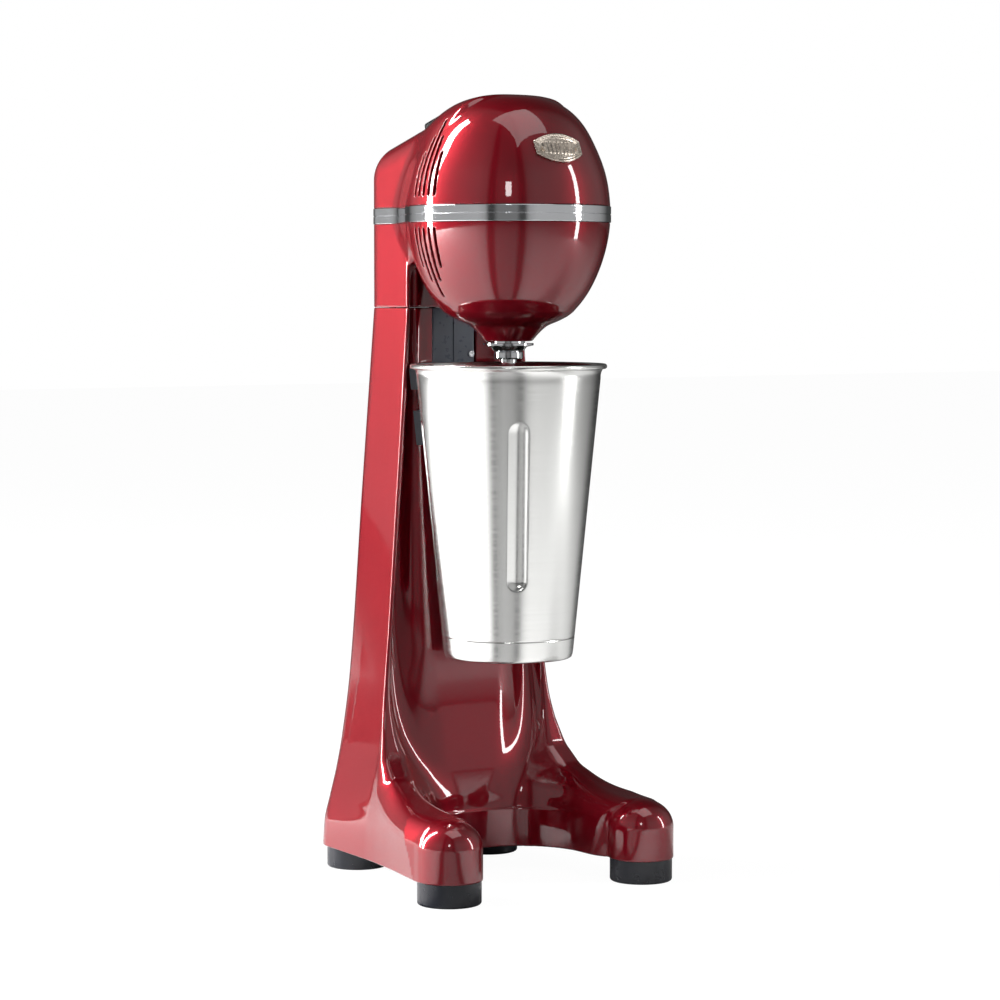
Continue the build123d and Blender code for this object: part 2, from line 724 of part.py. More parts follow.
with BuildPart() as base_plate_screws:
    for x, y in PLATE_BOSSES:
        add(screw(x, y, PLATE_LOW_Z, 24, shank=1.75, head=3.6, head_height=2))
base_plate_screws.part.label = "base_plate_screws"
export_step(base_plate_screws.part, "parts/base_plate_screws.step")

# ------------------------------------------------- front panel and the bracket
with BuildPart() as front_panel:
    with BuildSketch(front(PANEL_FACE_Y + PANEL_THICKNESS)):
        with Locations((0, (PANEL_BOTTOM_Z + SEAM_Z) / 2)):
            Rectangle(2 * PANEL_HALF_WIDTH, SEAM_Z - PANEL_BOTTOM_Z - 1)
    extrude(amount=PANEL_THICKNESS)
    fillet(front_panel.edges().filter_by(Axis.Z).group_by(Axis.Y)[0], 1.2)
    # the panel's fine centre groove
    with BuildSketch(front(PANEL_FACE_Y)):
        with Locations((0, (PANEL_BOTTOM_Z + SEAM_Z) / 2)):
            Rectangle(0.8, SEAM_Z - PANEL_BOTTOM_Z)
    extrude(amount=-0.6, mode=Mode.SUBTRACT)
    with BuildSketch(front(PANEL_FACE_Y)):
        with Locations(*HOOK_SCREWS):
            Circle(2.0)
        with Locations(*PANEL_SCREWS):
            Circle(1.3)
        with Locations((0, PLUNGER_Z)):
            Circle(PLUNGER_RADIUS + GAP)
    extrude(amount=-PANEL_THICKNESS - 1, mode=Mode.SUBTRACT)
front_panel.part.label = "front_panel"
export_step(front_panel.part, "parts/front_panel.step")

with BuildPart() as panel_screws:
    for x, z in PANEL_SCREWS:
        add(screw_to_back(x, z, PANEL_FACE_Y, 6, shank=1.25, head=1.9, head_height=0.9))
panel_screws.part.label = "panel_screws"
export_step(panel_screws.part, "parts/panel_screws.step")


def bracket_arc(low, high, inner_gap, thickness):
    """A collar round the back of the cup, following its taper."""
    collar = turned([
        (cup_radius(low) + inner_gap, low),
        (cup_radius(low) + inner_gap + thickness, low),
        (cup_radius(high) + inner_gap + thickness, high),
        (cup_radius(high) + inner_gap, high),
    ])
    with BuildPart() as piece:
        with BuildSketch(level(low)):
            with BuildLine():
                reach = 90.0
                left = (-reach * sin(radians(BRACKET_HALF_ANGLE)), reach * cos(radians(BRACKET_HALF_ANGLE)))
                right = (-left[0], left[1])
                Polyline((0, 0), right, left, close=True)
            make_face()
        extrude(amount=high - low)
        add(collar, mode=Mode.INTERSECT)
    return piece.part


def bracket_stem(low, high, start_y):
    """The block that carries a bracket's collar on the panel."""
    with BuildPart() as piece:
        with BuildSketch(level(low)):
            with Locations((0, (start_y + PANEL_FACE_Y - FLUSH) / 2)):
                Rectangle(24, PANEL_FACE_Y - FLUSH - start_y)
        extrude(amount=high - low)
    return piece.part


def bracket_bores(points, radius, low_y, high_y):
    """Holes for the screws that come through the wall from behind."""
    with BuildPart() as piece:
        with BuildSketch(front(high_y)):
            with Locations(*points):
                Circle(radius)
        extrude(amount=high_y - low_y)
    return piece.part


HOOK_GAP = 0.5
with BuildPart() as cup_hook:
    add(bracket_arc(*HOOK_Z, HOOK_GAP, BRACKET_THICKNESS))
    add(bracket_stem(*HOOK_Z, cup_radius(HOOK_Z[1]) + HOOK_GAP + 1.5))
    add(bracket_bores(HOOK_SCREWS[:2], 1.85, 59.2, 63), mode=Mode.SUBTRACT)
cup_hook.part.label = "cup_hook"
export_step(cup_hook.part, "parts/cup_hook.step")

with BuildPart() as cup_cradle:
    add(bracket_arc(*CRADLE_Z, HOOK_GAP, BRACKET_THICKNESS))
    add(bracket_stem(*CRADLE_Z, cup_radius(CRADLE_Z[1]) + HOOK_GAP + 1.5))
    add(bracket_bores(HOOK_SCREWS[2:], 1.85, 58.5, 63), mode=Mode.SUBTRACT)
    add(bracket_bores([(0, PLUNGER_Z)], PLUNGER_RADIUS + GAP, 50, 63), mode=Mode.SUBTRACT)
cup_cradle.part.label = "cup_cradle"
export_step(cup_cradle.part, "parts/cup_cradle.step")

with BuildPart() as bracket_screws:
    for x, z in HOOK_SCREWS:
        with BuildSketch(front(HOLLOW_FRONT_Y)):
            with Locations((x, z)):
                Circle(1.8)
        extrude(amount=HOLLOW_FRONT_Y - 59.6)
        with BuildSketch(front(HOLLOW_FRONT_Y + 2.2)):
            with Locations((x, z)):
                Circle(3.2)
        extrude(amount=2.2 - FLUSH)
bracket_screws.part.label = "bracket_screws"
export_step(bracket_screws.part, "parts/bracket_screws.step")

# the spring-loaded pin that feels the cup, and the switch behind it
PLUNGER_TIP_Y = cup_radius(PLUNGER_Z) + GAP + 0.1
PLUNGER_END_Y = 71.0
SENSOR_FACE_Y = PLUNGER_END_Y + PLUNGER_TRAVEL + 0.5
with BuildPart() as cup_sensor_plunger:
    with BuildSketch(front(PLUNGER_END_Y)):
        with Locations((0, PLUNGER_Z)):
            Circle(PLUNGER_RADIUS)
    extrude(amount=PLUNGER_END_Y - PLUNGER_TIP_Y)
    fillet(cup_sensor_plunger.edges().group_by(Axis.Y)[0], 1.4)
    with BuildSketch(front(PLUNGER_END_Y)):
        with Locations((0, PLUNGER_Z)):
            Circle(PLUNGER_RADIUS + 1.6)
    extrude(amount=1.4)
cup_sensor_plunger.part.label = "cup_sensor_plunger"
export_step(cup_sensor_plunger.part, "parts/cup_sensor_plunger.step")

with BuildPart() as cup_sensor_switch:
    with BuildSketch(front(SENSOR_FACE_Y + 9)):
        with Locations((0, PLUNGER_Z)):
            Rectangle(7, 24)
    extrude(amount=9)
    with BuildSketch(front(SENSOR_FACE_Y)):
        with Locations((0, PLUNGER_Z + 10), (0, PLUNGER_Z - 10)):
            Rectangle(7, 4)
    extrude(amount=SENSOR_FACE_Y - HOLLOW_FRONT_Y - FLUSH)
    with BuildSketch(front(SENSOR_FACE_Y + 12)):
        with Locations((0, PLUNGER_Z - 7), (0, PLUNGER_Z), (0, PLUNGER_Z + 7)):
            Rectangle(4, 0.8)
    extrude(amount=3)
cup_sensor_switch.part.label = "cup_sensor_switch"
export_step(cup_sensor_switch.part, "parts/cup_sensor_switch.step")

# ------------------------------------------------------------------------ cup
FLUTE_RADIUS = (FLUTE_WIDTH ** 2 / 4 + FLUTE_DEPTH ** 2) / (2 * FLUTE_DEPTH)


def flute(bearing, swell=0.0):
    """The round-ended bar that presses one flute into the cup's wall."""
    ends = []
    for z in (FLUTE_LOW_Z, FLUTE_HIGH_Z):
        reach = cup_radius(z) + FLUTE_RADIUS - FLUTE_DEPTH
        ends.append(Vector(
            reach * sin(radians(bearing)),
            SPINDLE_Y - reach * cos(radians(bearing)),
            z,
        ))
    run = ends[1] - ends[0]
    with BuildPart() as piece:
        with BuildSketch(Plane(origin=ends[0], z_dir=run)):
            Circle(FLUTE_RADIUS + swell)
        extrude(amount=run.length)
        with Locations(*ends):
            Sphere(FLUTE_RADIUS + swell)
    return piece.part


with BuildPart() as cup_body:
    add(turned([
        (0, CUP_BOTTOM_Z),
        (CUP_BOTTOM_RADIUS - 2, CUP_BOTTOM_Z),
        (CUP_BOTTOM_RADIUS, CUP_BOTTOM_Z + 2),
        (CUP_RIM_RADIUS - 2 * CUP_BEAD, CUP_RIM_Z),
        (0, CUP_RIM_Z),
    ]))
    for count in range(4):
        add(flute(FLUTE_BEARING + 90 * count), mode=Mode.SUBTRACT)

with BuildPart() as cup_space:
    add(turned([
        (0, CUP_BOTTOM_Z + CUP_WALL),
        (CUP_BOTTOM_RADIUS - 2, CUP_BOTTOM_Z + CUP_WALL),
        (CUP_BOTTOM_RADIUS - CUP_WALL + 0.1, CUP_BOTTOM_Z + CUP_WALL + 2),
        (CUP_RIM_RADIUS - 2 * CUP_BEAD - CUP_WALL, CUP_RIM_Z),
        (CUP_RIM_RADIUS - 2 * CUP_BEAD - CUP_WALL, CUP_RIM_Z + 5),
        (0, CUP_RIM_Z + 5),
    ]))
    for count in range(4):
        add(flute(FLUTE_BEARING + 90 * count, CUP_WALL), mode=Mode.SUBTRACT)

with BuildPart() as cup:
    add(cup_body.part)
    with BuildSketch(front(0)):
        with Locations((CUP_RIM_RADIUS - CUP_BEAD, CUP_RIM_Z)):
            Circle(CUP_BEAD)
    revolve(axis=SPINDLE)
    add(turned([
        (50, CUP_RIM_Z - 0.6),
        (CUP_RIM_RADIUS - CUP_BEAD, CUP_RIM_Z - 0.6),
        (CUP_RIM_RADIUS - CUP_BEAD, CUP_RIM_Z + CUP_BEAD),
        (CUP_RIM_RADIUS - 2 * CUP_BEAD - CUP_WALL + 0.6, CUP_RIM_Z + CUP_BEAD),
        (CUP_RIM_RADIUS - 2 * CUP_BEAD - CUP_WALL, CUP_RIM_Z + CUP_BEAD - 0.6),
        (50, CUP_RIM_Z),
    ]))
    add(cup_space.part, mode=Mode.SUBTRACT)
cup.part.label = "cup"
export_step(cup.part, "parts/cup.step")

# ------------------------------------------------------------ spindle and rotor
SHOULDER_Z = 320.8
THREAD_Z = 166.0
SPINDLE_TOP_Z = 357.8
with BuildPart() as spindle:
    add(turned([
        (0, SPINDLE_BOTTOM_Z),
        (3, SPINDLE_BOTTOM_Z),
        (3, THREAD_Z),
        (SPINDLE_RADIUS, THREAD_Z + 1),
        (SPINDLE_RADIUS, SHOULDER_Z),
        (SHAFT_RADIUS, SHOULDER_Z),
        (SHAFT_RADIUS, SPINDLE_TOP_Z),
        (0, SPINDLE_TOP_Z),
    ]))
spindle.part.label = "spindle"
export_step(spindle.part, "parts/spindle.step")

with BuildPart() as agitator:
    with BuildSketch(level(AGITATOR_Z)):
        Circle(AGITATOR_RADIUS)
        with PolarLocations(AGITATOR_RADIUS + 1.2, 6):
            Circle(3.4, mode=Mode.SUBTRACT)
        Circle(3 + FLUSH, mode=Mode.SUBTRACT)
    extrude(amount=2.5)
    with BuildSketch(level(AGITATOR_Z)):
        Circle(6.5)
        Circle(3 + FLUSH, mode=Mode.SUBTRACT)
    extrude(amount=THREAD_Z - FLUSH - AGITATOR_Z)
agitator.part.label = "agitator"
export_step(agitator.part, "parts/agitator.step")

with BuildPart() as agitator_nut:
    with BuildSketch(level(AGITATOR_Z - 4.2)):
        RegularPolygon(5.2, 6)
        Circle(3 + FLUSH, mode=Mode.SUBTRACT)
    extrude(amount=4.2 - FLUSH)
agitator_nut.part.label = "agitator_nut"
export_step(agitator_nut.part, "parts/agitator_nut.step")

with BuildPart() as spindle_collar:
    add(turned([
        (SHAFT_RADIUS + FLUSH, SHOULDER_Z + FLUSH),
        (7.6, SHOULDER_Z + FLUSH),
        (8.8, SHOULDER_Z + 1),
        (8.8, SHOULDER_Z + 4.2),
        (7.8, SHOULDER_Z + 5.2),
        (SHAFT_RADIUS + FLUSH, SHOULDER_Z + 5.2),
    ]))
spindle_collar.part.label = "spindle_collar"
export_step(spindle_collar.part, "parts/spindle_collar.step")

with BuildPart() as slinger_disc:
    add(turned([
        (SHAFT_RADIUS + FLUSH, SHOULDER_Z + 5.3),
        (9.4, SHOULDER_Z + 5.3),
        (11.2, DISC_Z - 1.2),
        (DISC_RADIUS, DISC_Z - 0.3),
        (DISC_RADIUS, DISC_Z + 1.0),
        (DISC_RADIUS - 1.0, DISC_Z + 1.0),
        (DISC_RADIUS - 1.8, DISC_Z + 0.3),
        (10.0, DISC_Z + 0.3),
        (10.0, DISC_Z + 4.0),
        (SHAFT_RADIUS + FLUSH, DISC_Z + 4.0),
    ]))
slinger_disc.part.label = "slinger_disc"
export_step(slinger_disc.part, "parts/slinger_disc.step")

with BuildPart() as shaft_seal:
    add(ring(SHAFT_RADIUS + GAP, 10.65, 334.6, 337.9))
shaft_seal.part.label = "shaft_seal"
export_step(shaft_seal.part, "parts/shaft_seal.step")

for name, low in (("lower_bearing", LOWER_BEARING_Z + FLUSH), ("upper_bearing", UPPER_BEARING_Z)):
    with BuildPart() as bearing:
        add(ring(SHAFT_RADIUS + FLUSH, BEARING_RADIUS, low, low + BEARING_WIDTH))
        for height in (low, low + BEARING_WIDTH - 0.6):
            add(ring(6.4, 9.2, height, height + 0.6), mode=Mode.SUBTRACT)
    bearing.part.label = name
    export_step(bearing.part, f"parts/{name}.step")

with BuildPart() as bearing_clip:
    with BuildSketch(level(LOWER_BEARING_Z + BEARING_WIDTH + 0.1)):
        Circle(BEARING_RADIUS)
        Circle(9.2, mode=Mode.SUBTRACT)
        with Locations((0, -10)):
            Rectangle(5, 6, mode=Mode.SUBTRACT)
    extrude(amount=1.2)
bearing_clip.part.label = "bearing_clip"
export_step(bearing_clip.part, "parts/bearing_clip.step")

with BuildPart() as motor_shaft:
    shaft_low = SPINDLE_TOP_Z + 0.4
    add(turned([(0, shaft_low), (SHAFT_RADIUS, shaft_low), (SHAFT_RADIUS, 460), (0, 460)]))
motor_shaft.part.label = "motor_shaft"
export_step(motor_shaft.part, "parts/motor_shaft.step")

with BuildPart() as shaft_coupling:
    add(ring(SHAFT_RADIUS + FLUSH, 9.0, 352.2, 363.8))
    with BuildSketch(front(0)):
        with Locations((0, 355.2), (0, 360.8)):
            Circle(1.5)
    extrude(amount=12, mode=Mode.SUBTRACT)
shaft_coupling.part.label = "shaft_coupling"
export_step(shaft_coupling.part, "parts/shaft_coupling.step")

with BuildPart() as coupling_screws:
    for height in (355.2, 360.8):
        with BuildSketch(front(-SHAFT_RADIUS - 0.1)):
            with Locations((0, height)):
                Circle(1.45)
        extrude(amount=4.6)
coupling_screws.part.label = "coupling_screws"
export_step(coupling_screws.part, "parts/coupling_screws.step")

FAN_Z = 366.0
with BuildPart() as cooling_fan:
    add(ring(SHAFT_RADIUS + FLUSH, 9.0, FAN_Z, FAN_Z + 9))
    add(ring(8.5, 36.0, FAN_Z, FAN_Z + 1.5))
    with BuildSketch(level(FAN_Z + 1.5)):
        with PolarLocations(23.5, 9):
            with Locations(Location((0, 0), 24)):
                Rectangle(23, 1.4)
    extrude(amount=7)
cooling_fan.part.label = "cooling_fan"
export_step(cooling_fan.part, "parts/cooling_fan.step")

SLOTS = 12
with BuildPart() as armature_core:
    with BuildSketch(level(STACK_LOW_Z)):
        Circle(ARMATURE_RADIUS)
        Circle(SHAFT_RADIUS + FLUSH, mode=Mode.SUBTRACT)
        with PolarLocations(ARMATURE_RADIUS - 4.0, SLOTS):
            Rectangle(9.0, 4.0, mode=Mode.SUBTRACT)
    extrude(amount=STACK_HIGH_Z - STACK_LOW_Z)
armature_core.part.label = "armature_core"
export_step(armature_core.part, "parts/armature_core.step")

with BuildPart() as armature_windings:
    with BuildSketch(level(STACK_LOW_Z - 4.5)):
        with PolarLocations(ARMATURE_RADIUS - 4.6, SLOTS):
            Rectangle(7.0, 3.6)
    extrude(amount=STACK_HIGH_Z - STACK_LOW_Z + 9)
    for low in (STACK_LOW_Z - 5.0, STACK_HIGH_Z + 0.1):
        add(ring(9.0, 20.8, low, low + 4.9))
armature_windings.part.label = "armature_windings"
export_step(armature_windings.part, "parts/armature_windings.step")

with BuildPart() as commutator:
    with BuildSketch(level(BRUSH_Z - 7)):
        Circle(COMMUTATOR_RADIUS)
        Circle(SHAFT_RADIUS + FLUSH, mode=Mode.SUBTRACT)
        with PolarLocations(COMMUTATOR_RADIUS, 2 * SLOTS):
            Rectangle(2.0, 0.5, mode=Mode.SUBTRACT)
    extrude(amount=14)
    add(ring(SHAFT_RADIUS + FLUSH, 8.0, STACK_HIGH_Z + 5.2, BRUSH_Z - 7))
commutator.part.label = "commutator"
export_step(commutator.part, "parts/commutator.step")

# -------------------------------------------------------------- motor, standing
BOLT_CIRCLE = 38.0
BOLT_ANGLES = (55, 125, 235, 305)
MOTOR_BOLTS = [(BOLT_CIRCLE * cos(radians(a)), BOLT_CIRCLE * sin(radians(a))) for a in BOLT_ANGLES]
BRACKET_Z = 450.0

with BuildPart() as stator_core:
    with BuildSketch(level(STACK_LOW_Z)):
        Circle(STATOR_RADIUS)
        Circle(STATOR_BORE, mode=Mode.SUBTRACT)
        with BuildSketch(mode=Mode.PRIVATE) as window:
            with BuildLine():
                Polyline((0, 0), (60, -34), (60, 34), close=True)
            make_face()
            Circle(34.0, mode=Mode.INTERSECT)
        with PolarLocations(0, 2):
            add(window.sketch, mode=Mode.SUBTRACT)
        with Locations(*MOTOR_BOLTS):
            Circle(2.3, mode=Mode.SUBTRACT)
    extrude(amount=STACK_HIGH_Z - STACK_LOW_Z)
stator_core.part.label = "stator_core"
export_step(stator_core.part, "parts/stator_core.step")

with BuildPart() as field_coils:
    with BuildSketch(level(STACK_LOW_Z - 3.5)):
        with BuildSketch(mode=Mode.PRIVATE) as coil:
            with BuildLine():
                Polyline((0, 0), (60, -30), (60, 30), close=True)
            make_face()
            Circle(33.4, mode=Mode.INTERSECT)
            Circle(24.0, mode=Mode.SUBTRACT)
        with PolarLocations(0, 2):
            add(coil.sketch)
    extrude(amount=STACK_HIGH_Z - STACK_LOW_Z + 8)
field_coils.part.label = "field_coils"
export_step(field_coils.part, "parts/field_coils.step")

with BuildPart() as motor_plate:
    add(ring(13.0, 51.0, MOTOR_PLATE_Z + FLUSH, MOTOR_PLATE_Z + 3))
    with BuildSketch(level(MOTOR_PLATE_Z)):
        with PolarLocations(24, 8, start_angle=22.5):
            Circle(6)
        with PolarLocations(MOTOR_PLATE_CIRCLE, 4, start_angle=45):
            Circle(2.0)
        with Locations(*MOTOR_BOLTS):
            Circle(2.3)
    extrude(amount=4, mode=Mode.SUBTRACT)
    # seats that the stator stands on
    with BuildSketch(level(MOTOR_PLATE_Z + 3)):
        with Locations(*MOTOR_BOLTS):
            Circle(3.6)
            Circle(2.3, mode=Mode.SUBTRACT)
    extrude(amount=STACK_LOW_Z - MOTOR_PLATE_Z - 3)
motor_plate.part.label = "motor_plate"
export_step(motor_plate.part, "parts/motor_plate.step")

with BuildPart() as motor_plate_screws:
    for count in range(4):
        x = MOTOR_PLATE_CIRCLE * cos(radians(45 + 90 * count))
        y = MOTOR_PLATE_CIRCLE * sin(radians(45 + 90 * count))
        add(screw(x, y, 367, MOTOR_PLATE_Z + 3.05, 1.65, 3.2, 2.0, head_up=True))
motor_plate_screws.part.label = "motor_plate_screws"
export_step(motor_plate_screws.part, "parts/motor_plate_screws.step")

with BuildPart() as motor_top_bracket:
    add(turned([
        (BEARING_RADIUS + FLUSH, BRACKET_Z), (43.0, BRACKET_Z), (43.0, BRACKET_Z + 2.5),
        (15.0, BRACKET_Z + 2.5), (14.0, BRACKET_Z + 8.2), (BEARING_RADIUS + FLUSH, BRACKET_Z + 8.2),
    ]))
    with BuildSketch(level(BRACKET_Z)):
        with PolarLocations(28, 4, start_angle=0):
            Circle(7)
        with Locations(*MOTOR_BOLTS):
            Circle(2.3)
    extrude(amount=3, mode=Mode.SUBTRACT)
motor_top_bracket.part.label = "motor_top_bracket"
export_step(motor_top_bracket.part, "parts/motor_top_bracket.step")

with BuildPart() as motor_spacers:
    with BuildSketch(level(STACK_HIGH_Z)):
        with Locations(*MOTOR_BOLTS):
            Circle(3.6)
            Circle(2.3, mode=Mode.SUBTRACT)
    extrude(amount=BRACKET_Z - STACK_HIGH_Z)
motor_spacers.part.label = "motor_spacers"
export_step(motor_spacers.part, "parts/motor_spacers.step")

with BuildPart() as motor_bolts:
    for x, y in MOTOR_BOLTS:
        add(screw(x, y, 377.9, BRACKET_Z + 2.55, 2.2, 3.8, 2.4, head_up=True))
motor_bolts.part.label = "motor_bolts"
export_step(motor_bolts.part, "parts/motor_bolts.step")

with BuildPart() as brush_holders:
    for hand in (-1, 1):
        with BuildSketch(level(BRUSH_Z - 5.5)):
            with Locations((hand * 25, 0)):
                Rectangle(22, 11)
        extrude(amount=11)
        with BuildSketch(level(BRUSH_Z + 5.5)):
            with Locations((hand * 18, 0)):
                Rectangle(6, 8)
        extrude(amount=BRACKET_Z - BRUSH_Z - 5.5)
        with BuildSketch(level(BRUSH_Z - 4.1)):
            with Locations((hand * 23, 0)):
                Rectangle(24, 7.2)
        extrude(amount=8.2, mode=Mode.SUBTRACT)
brush_holders.part.label = "brush_holders"
export_step(brush_holders.part, "parts/brush_holders.step")

with BuildPart() as carbon_brushes:
    with BuildSketch(level(BRUSH_Z - 4.0)):
        with Locations((-17.8, 0), (17.8, 0)):
            Rectangle(13, 7)
    extrude(amount=8)
carbon_brushes.part.label = "carbon_brushes"
export_step(carbon_brushes.part, "parts/carbon_brushes.step")

with BuildPart() as brush_springs:
    for hand in (-1, 1):
        start = (hand * 24.9, SPINDLE_Y, BRUSH_Z)
        with BuildLine() as coil_line:
            Helix(pitch=2.0, height=9.4, radius=2.6, center=start, direction=(hand, 0, 0))
        with BuildSketch(coil_line.line ^ 0):
            Circle(0.4)
        sweep(path=coil_line.line, is_frenet=True)
brush_springs.part.label = "brush_springs"
export_step(brush_springs.part, "parts/brush_springs.step")

# ------------------------------------------------------------- joining screws
with BuildPart() as head_bolts:
    for x, y in LUGS:
        add(screw(x, y, LUG_LOW_Z, LUG_HIGH_Z, shank=3.0, head=5.0, head_height=4))
        with BuildSketch(level(LUG_HIGH_Z + FLUSH)):
            with Locations((x, y)):
                RegularPolygon(5.2, 6)
        extrude(amount=4)
head_bolts.part.label = "head_bolts"
export_step(head_bolts.part, "parts/head_bolts.step")

with BuildPart() as cover_screws:
    for x, y in COVER_SCREWS:
        add(screw(x, y, BAND_Z - 10, BAND_Z + 8, shank=1.65, head=3.2, head_height=2.2))
cover_screws.part.label = "cover_screws"
export_step(cover_screws.part, "parts/cover_screws.step")

# ----------------------------------------------------------------- the switch
SWITCH_TILT = 9.0
with BuildPart() as switch_housing:
    with BuildSketch(SWITCH_PLANE.offset(0.1)):
        RectangleRounded(2 * SWITCH_HALF_WIDTH, SWITCH_LENGTH, 2.5)
    extrude(amount=2.0)
    with BuildSketch(SWITCH_PLANE.offset(0.1)):
        Rectangle(15.0, 21.6)
    extrude(amount=-18)
    with BuildSketch(SWITCH_PLANE.offset(2.1)):
        Rectangle(12.8, 19.6)
    extrude(amount=-9.0, mode=Mode.SUBTRACT)
switch_housing.part.label = "switch_housing"
export_step(switch_housing.part, "parts/switch_housing.step")

ROCKER_PLANE = Plane(
    origin=SWITCH_PLANE.from_local_coords((0, 0, 1.2)),
    x_dir=(1, 0, 0),
    z_dir=SWITCH_PLANE.z_dir.rotate(Axis.X, -SWITCH_TILT),
)
with BuildPart() as rocker_button:
    with BuildSketch(Plane(origin=ROCKER_PLANE.origin, x_dir=ROCKER_PLANE.y_dir, z_dir=(1, 0, 0))):
        with BuildLine():
            Polyline((-8.4, 0.2), (-8.8, 4.4), (0, 2.6), (8.8, 4.4), (8.4, 0.2), (0, -3.6), close=True)
        make_face()
    extrude(amount=6.0, both=True)
rocker_button.part.label = "rocker_button"
export_step(rocker_button.part, "parts/rocker_button.step")

with BuildPart() as switch_cover:
    with BuildSketch(SWITCH_PLANE.offset(2.15)):
        RectangleRounded(2 * SWITCH_HALF_WIDTH - 1, SWITCH_LENGTH - 1, 2.5)
    extrude(amount=SWITCH_COVER_HEIGHT - 2)
    fillet(switch_cover.faces().sort_by(Axis(SWITCH_PLANE.origin, SWITCH_PLANE.z_dir))[-1].edges(), 1.6)
    with BuildSketch(SWITCH_PLANE.offset(2.15)):
        RectangleRounded(2 * SWITCH_HALF_WIDTH - 3.4, SWITCH_LENGTH - 3.4, 1.6)
    extrude(amount=SWITCH_COVER_HEIGHT - 3.2, mode=Mode.SUBTRACT)
switch_cover.part.label = "switch_cover"
export_step(switch_cover.part, "parts/switch_cover.step")

# ------------------------------------------------------------------ electrics
with BuildPart() as terminal_block:
    with BuildSketch(level(60)):
        with Locations((0, 107.6)):
            Rectangle(30, 12)
    extrude(amount=14)
    with BuildSketch(level(74)):
        with Locations((-10, 106), (0, 106), (10, 106)):
            Circle(2.2)
    extrude(amount=-8, mode=Mode.SUBTRACT)
terminal_block.part.label = "terminal_block"
export_step(terminal_block.part, "parts/terminal_block.step")

with BuildPart() as suppression_capacitor:
    with BuildSketch(level(60)):
        with Locations((-30, 105)):
            RectangleRounded(18, 12, 2)
    extrude(amount=24)
suppression_capacitor.part.label = "suppression_capacitor"
export_step(suppression_capacitor.part, "parts/suppression_capacitor.step")

with BuildPart() as cable_gland:
    with BuildSketch(front(118.4)):
        with Locations((0, GLAND_Z)):
            Circle(9.0)
    extrude(amount=2.7)
    with BuildSketch(front(118.4)):
        with Locations((0, GLAND_Z)):
            Circle(6.0)
    extrude(amount=16)
    with BuildSketch(front(104.9)):
        with Locations((0, GLAND_Z)):
            RegularPolygon(9.0, 6)
    extrude(amount=3)
    with BuildSketch(front(119)):
        with Locations((0, GLAND_Z)):
            Circle(3.6)
    extrude(amount=20, mode=Mode.SUBTRACT)
cable_gland.part.label = "cable_gland"
export_step(cable_gland.part, "parts/cable_gland.step")

WIRE_RUNS = [
    # (radius, route, bend radii): mains to the head, sensor, and both brushes
    (2.2, [(0, 103, 78), (0, 101, 112), (0, 88, 345), (0, 74, 402), (0, 57, 436)], [60, 60, 30]),
    (1.2, [(9, 103, 78), (9, 100, 112), (9, 87, 262), (2.5, 87, 276)], [40, 10]),
    (1.1, [(7, 55, 436), (24, 40, 440), (36, 20, 441.5), (34, 6.8, 441)], [8, 10]),
    (1.1, [(-7, 55, 436), (-24, 40, 440), (-36, 20, 441.5), (-34, 6.8, 441)], [8, 10]),
]
with BuildPart() as wiring:
    for radius, route, bends in WIRE_RUNS:
        points = [Vector(x, SPINDLE_Y + y, z) for x, y, z in route]
        with BuildLine() as run:
            FilletPolyline(*points, radius=bends)
        with BuildSketch(run.line ^ 0):
            Circle(radius)
        sweep(path=run.line)
wiring.part.label = "wiring"
export_step(wiring.part, "parts/wiring.step")
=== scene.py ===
"""A single-spindle drink mixer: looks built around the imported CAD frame.

Shapes are worked out in millimetres, counted from the spindle axis, with +Z up and the front towards -Y.
Meshes are made in metres in the frame's own axes, where the spindle stands SPINDLE_Y from the origin.
"""
import json
import math
import bpy
import numpy as np
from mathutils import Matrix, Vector


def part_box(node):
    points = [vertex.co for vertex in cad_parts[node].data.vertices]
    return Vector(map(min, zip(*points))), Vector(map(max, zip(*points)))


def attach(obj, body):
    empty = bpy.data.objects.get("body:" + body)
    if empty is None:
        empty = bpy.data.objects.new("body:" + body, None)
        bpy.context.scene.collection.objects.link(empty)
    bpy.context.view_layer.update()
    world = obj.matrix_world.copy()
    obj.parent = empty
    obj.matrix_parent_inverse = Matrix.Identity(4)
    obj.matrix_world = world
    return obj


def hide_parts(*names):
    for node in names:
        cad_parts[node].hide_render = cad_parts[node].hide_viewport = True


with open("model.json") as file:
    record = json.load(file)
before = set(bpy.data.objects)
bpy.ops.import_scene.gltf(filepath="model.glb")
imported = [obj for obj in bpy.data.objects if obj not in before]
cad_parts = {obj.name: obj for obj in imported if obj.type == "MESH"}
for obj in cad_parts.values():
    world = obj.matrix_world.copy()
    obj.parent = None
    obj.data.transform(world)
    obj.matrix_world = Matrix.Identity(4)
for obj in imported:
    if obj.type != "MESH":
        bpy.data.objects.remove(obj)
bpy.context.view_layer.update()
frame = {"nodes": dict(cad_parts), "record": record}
nodes = frame["nodes"]

MM = 0.001
SPINDLE_Y = (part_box("spindle")[0][1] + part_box("spindle")[1][1]) / 2 / MM

BASE_Z = 14.0
SEAM_Z = 352.0
BAND_Z = 408.5
BAND_HALF = 4.85


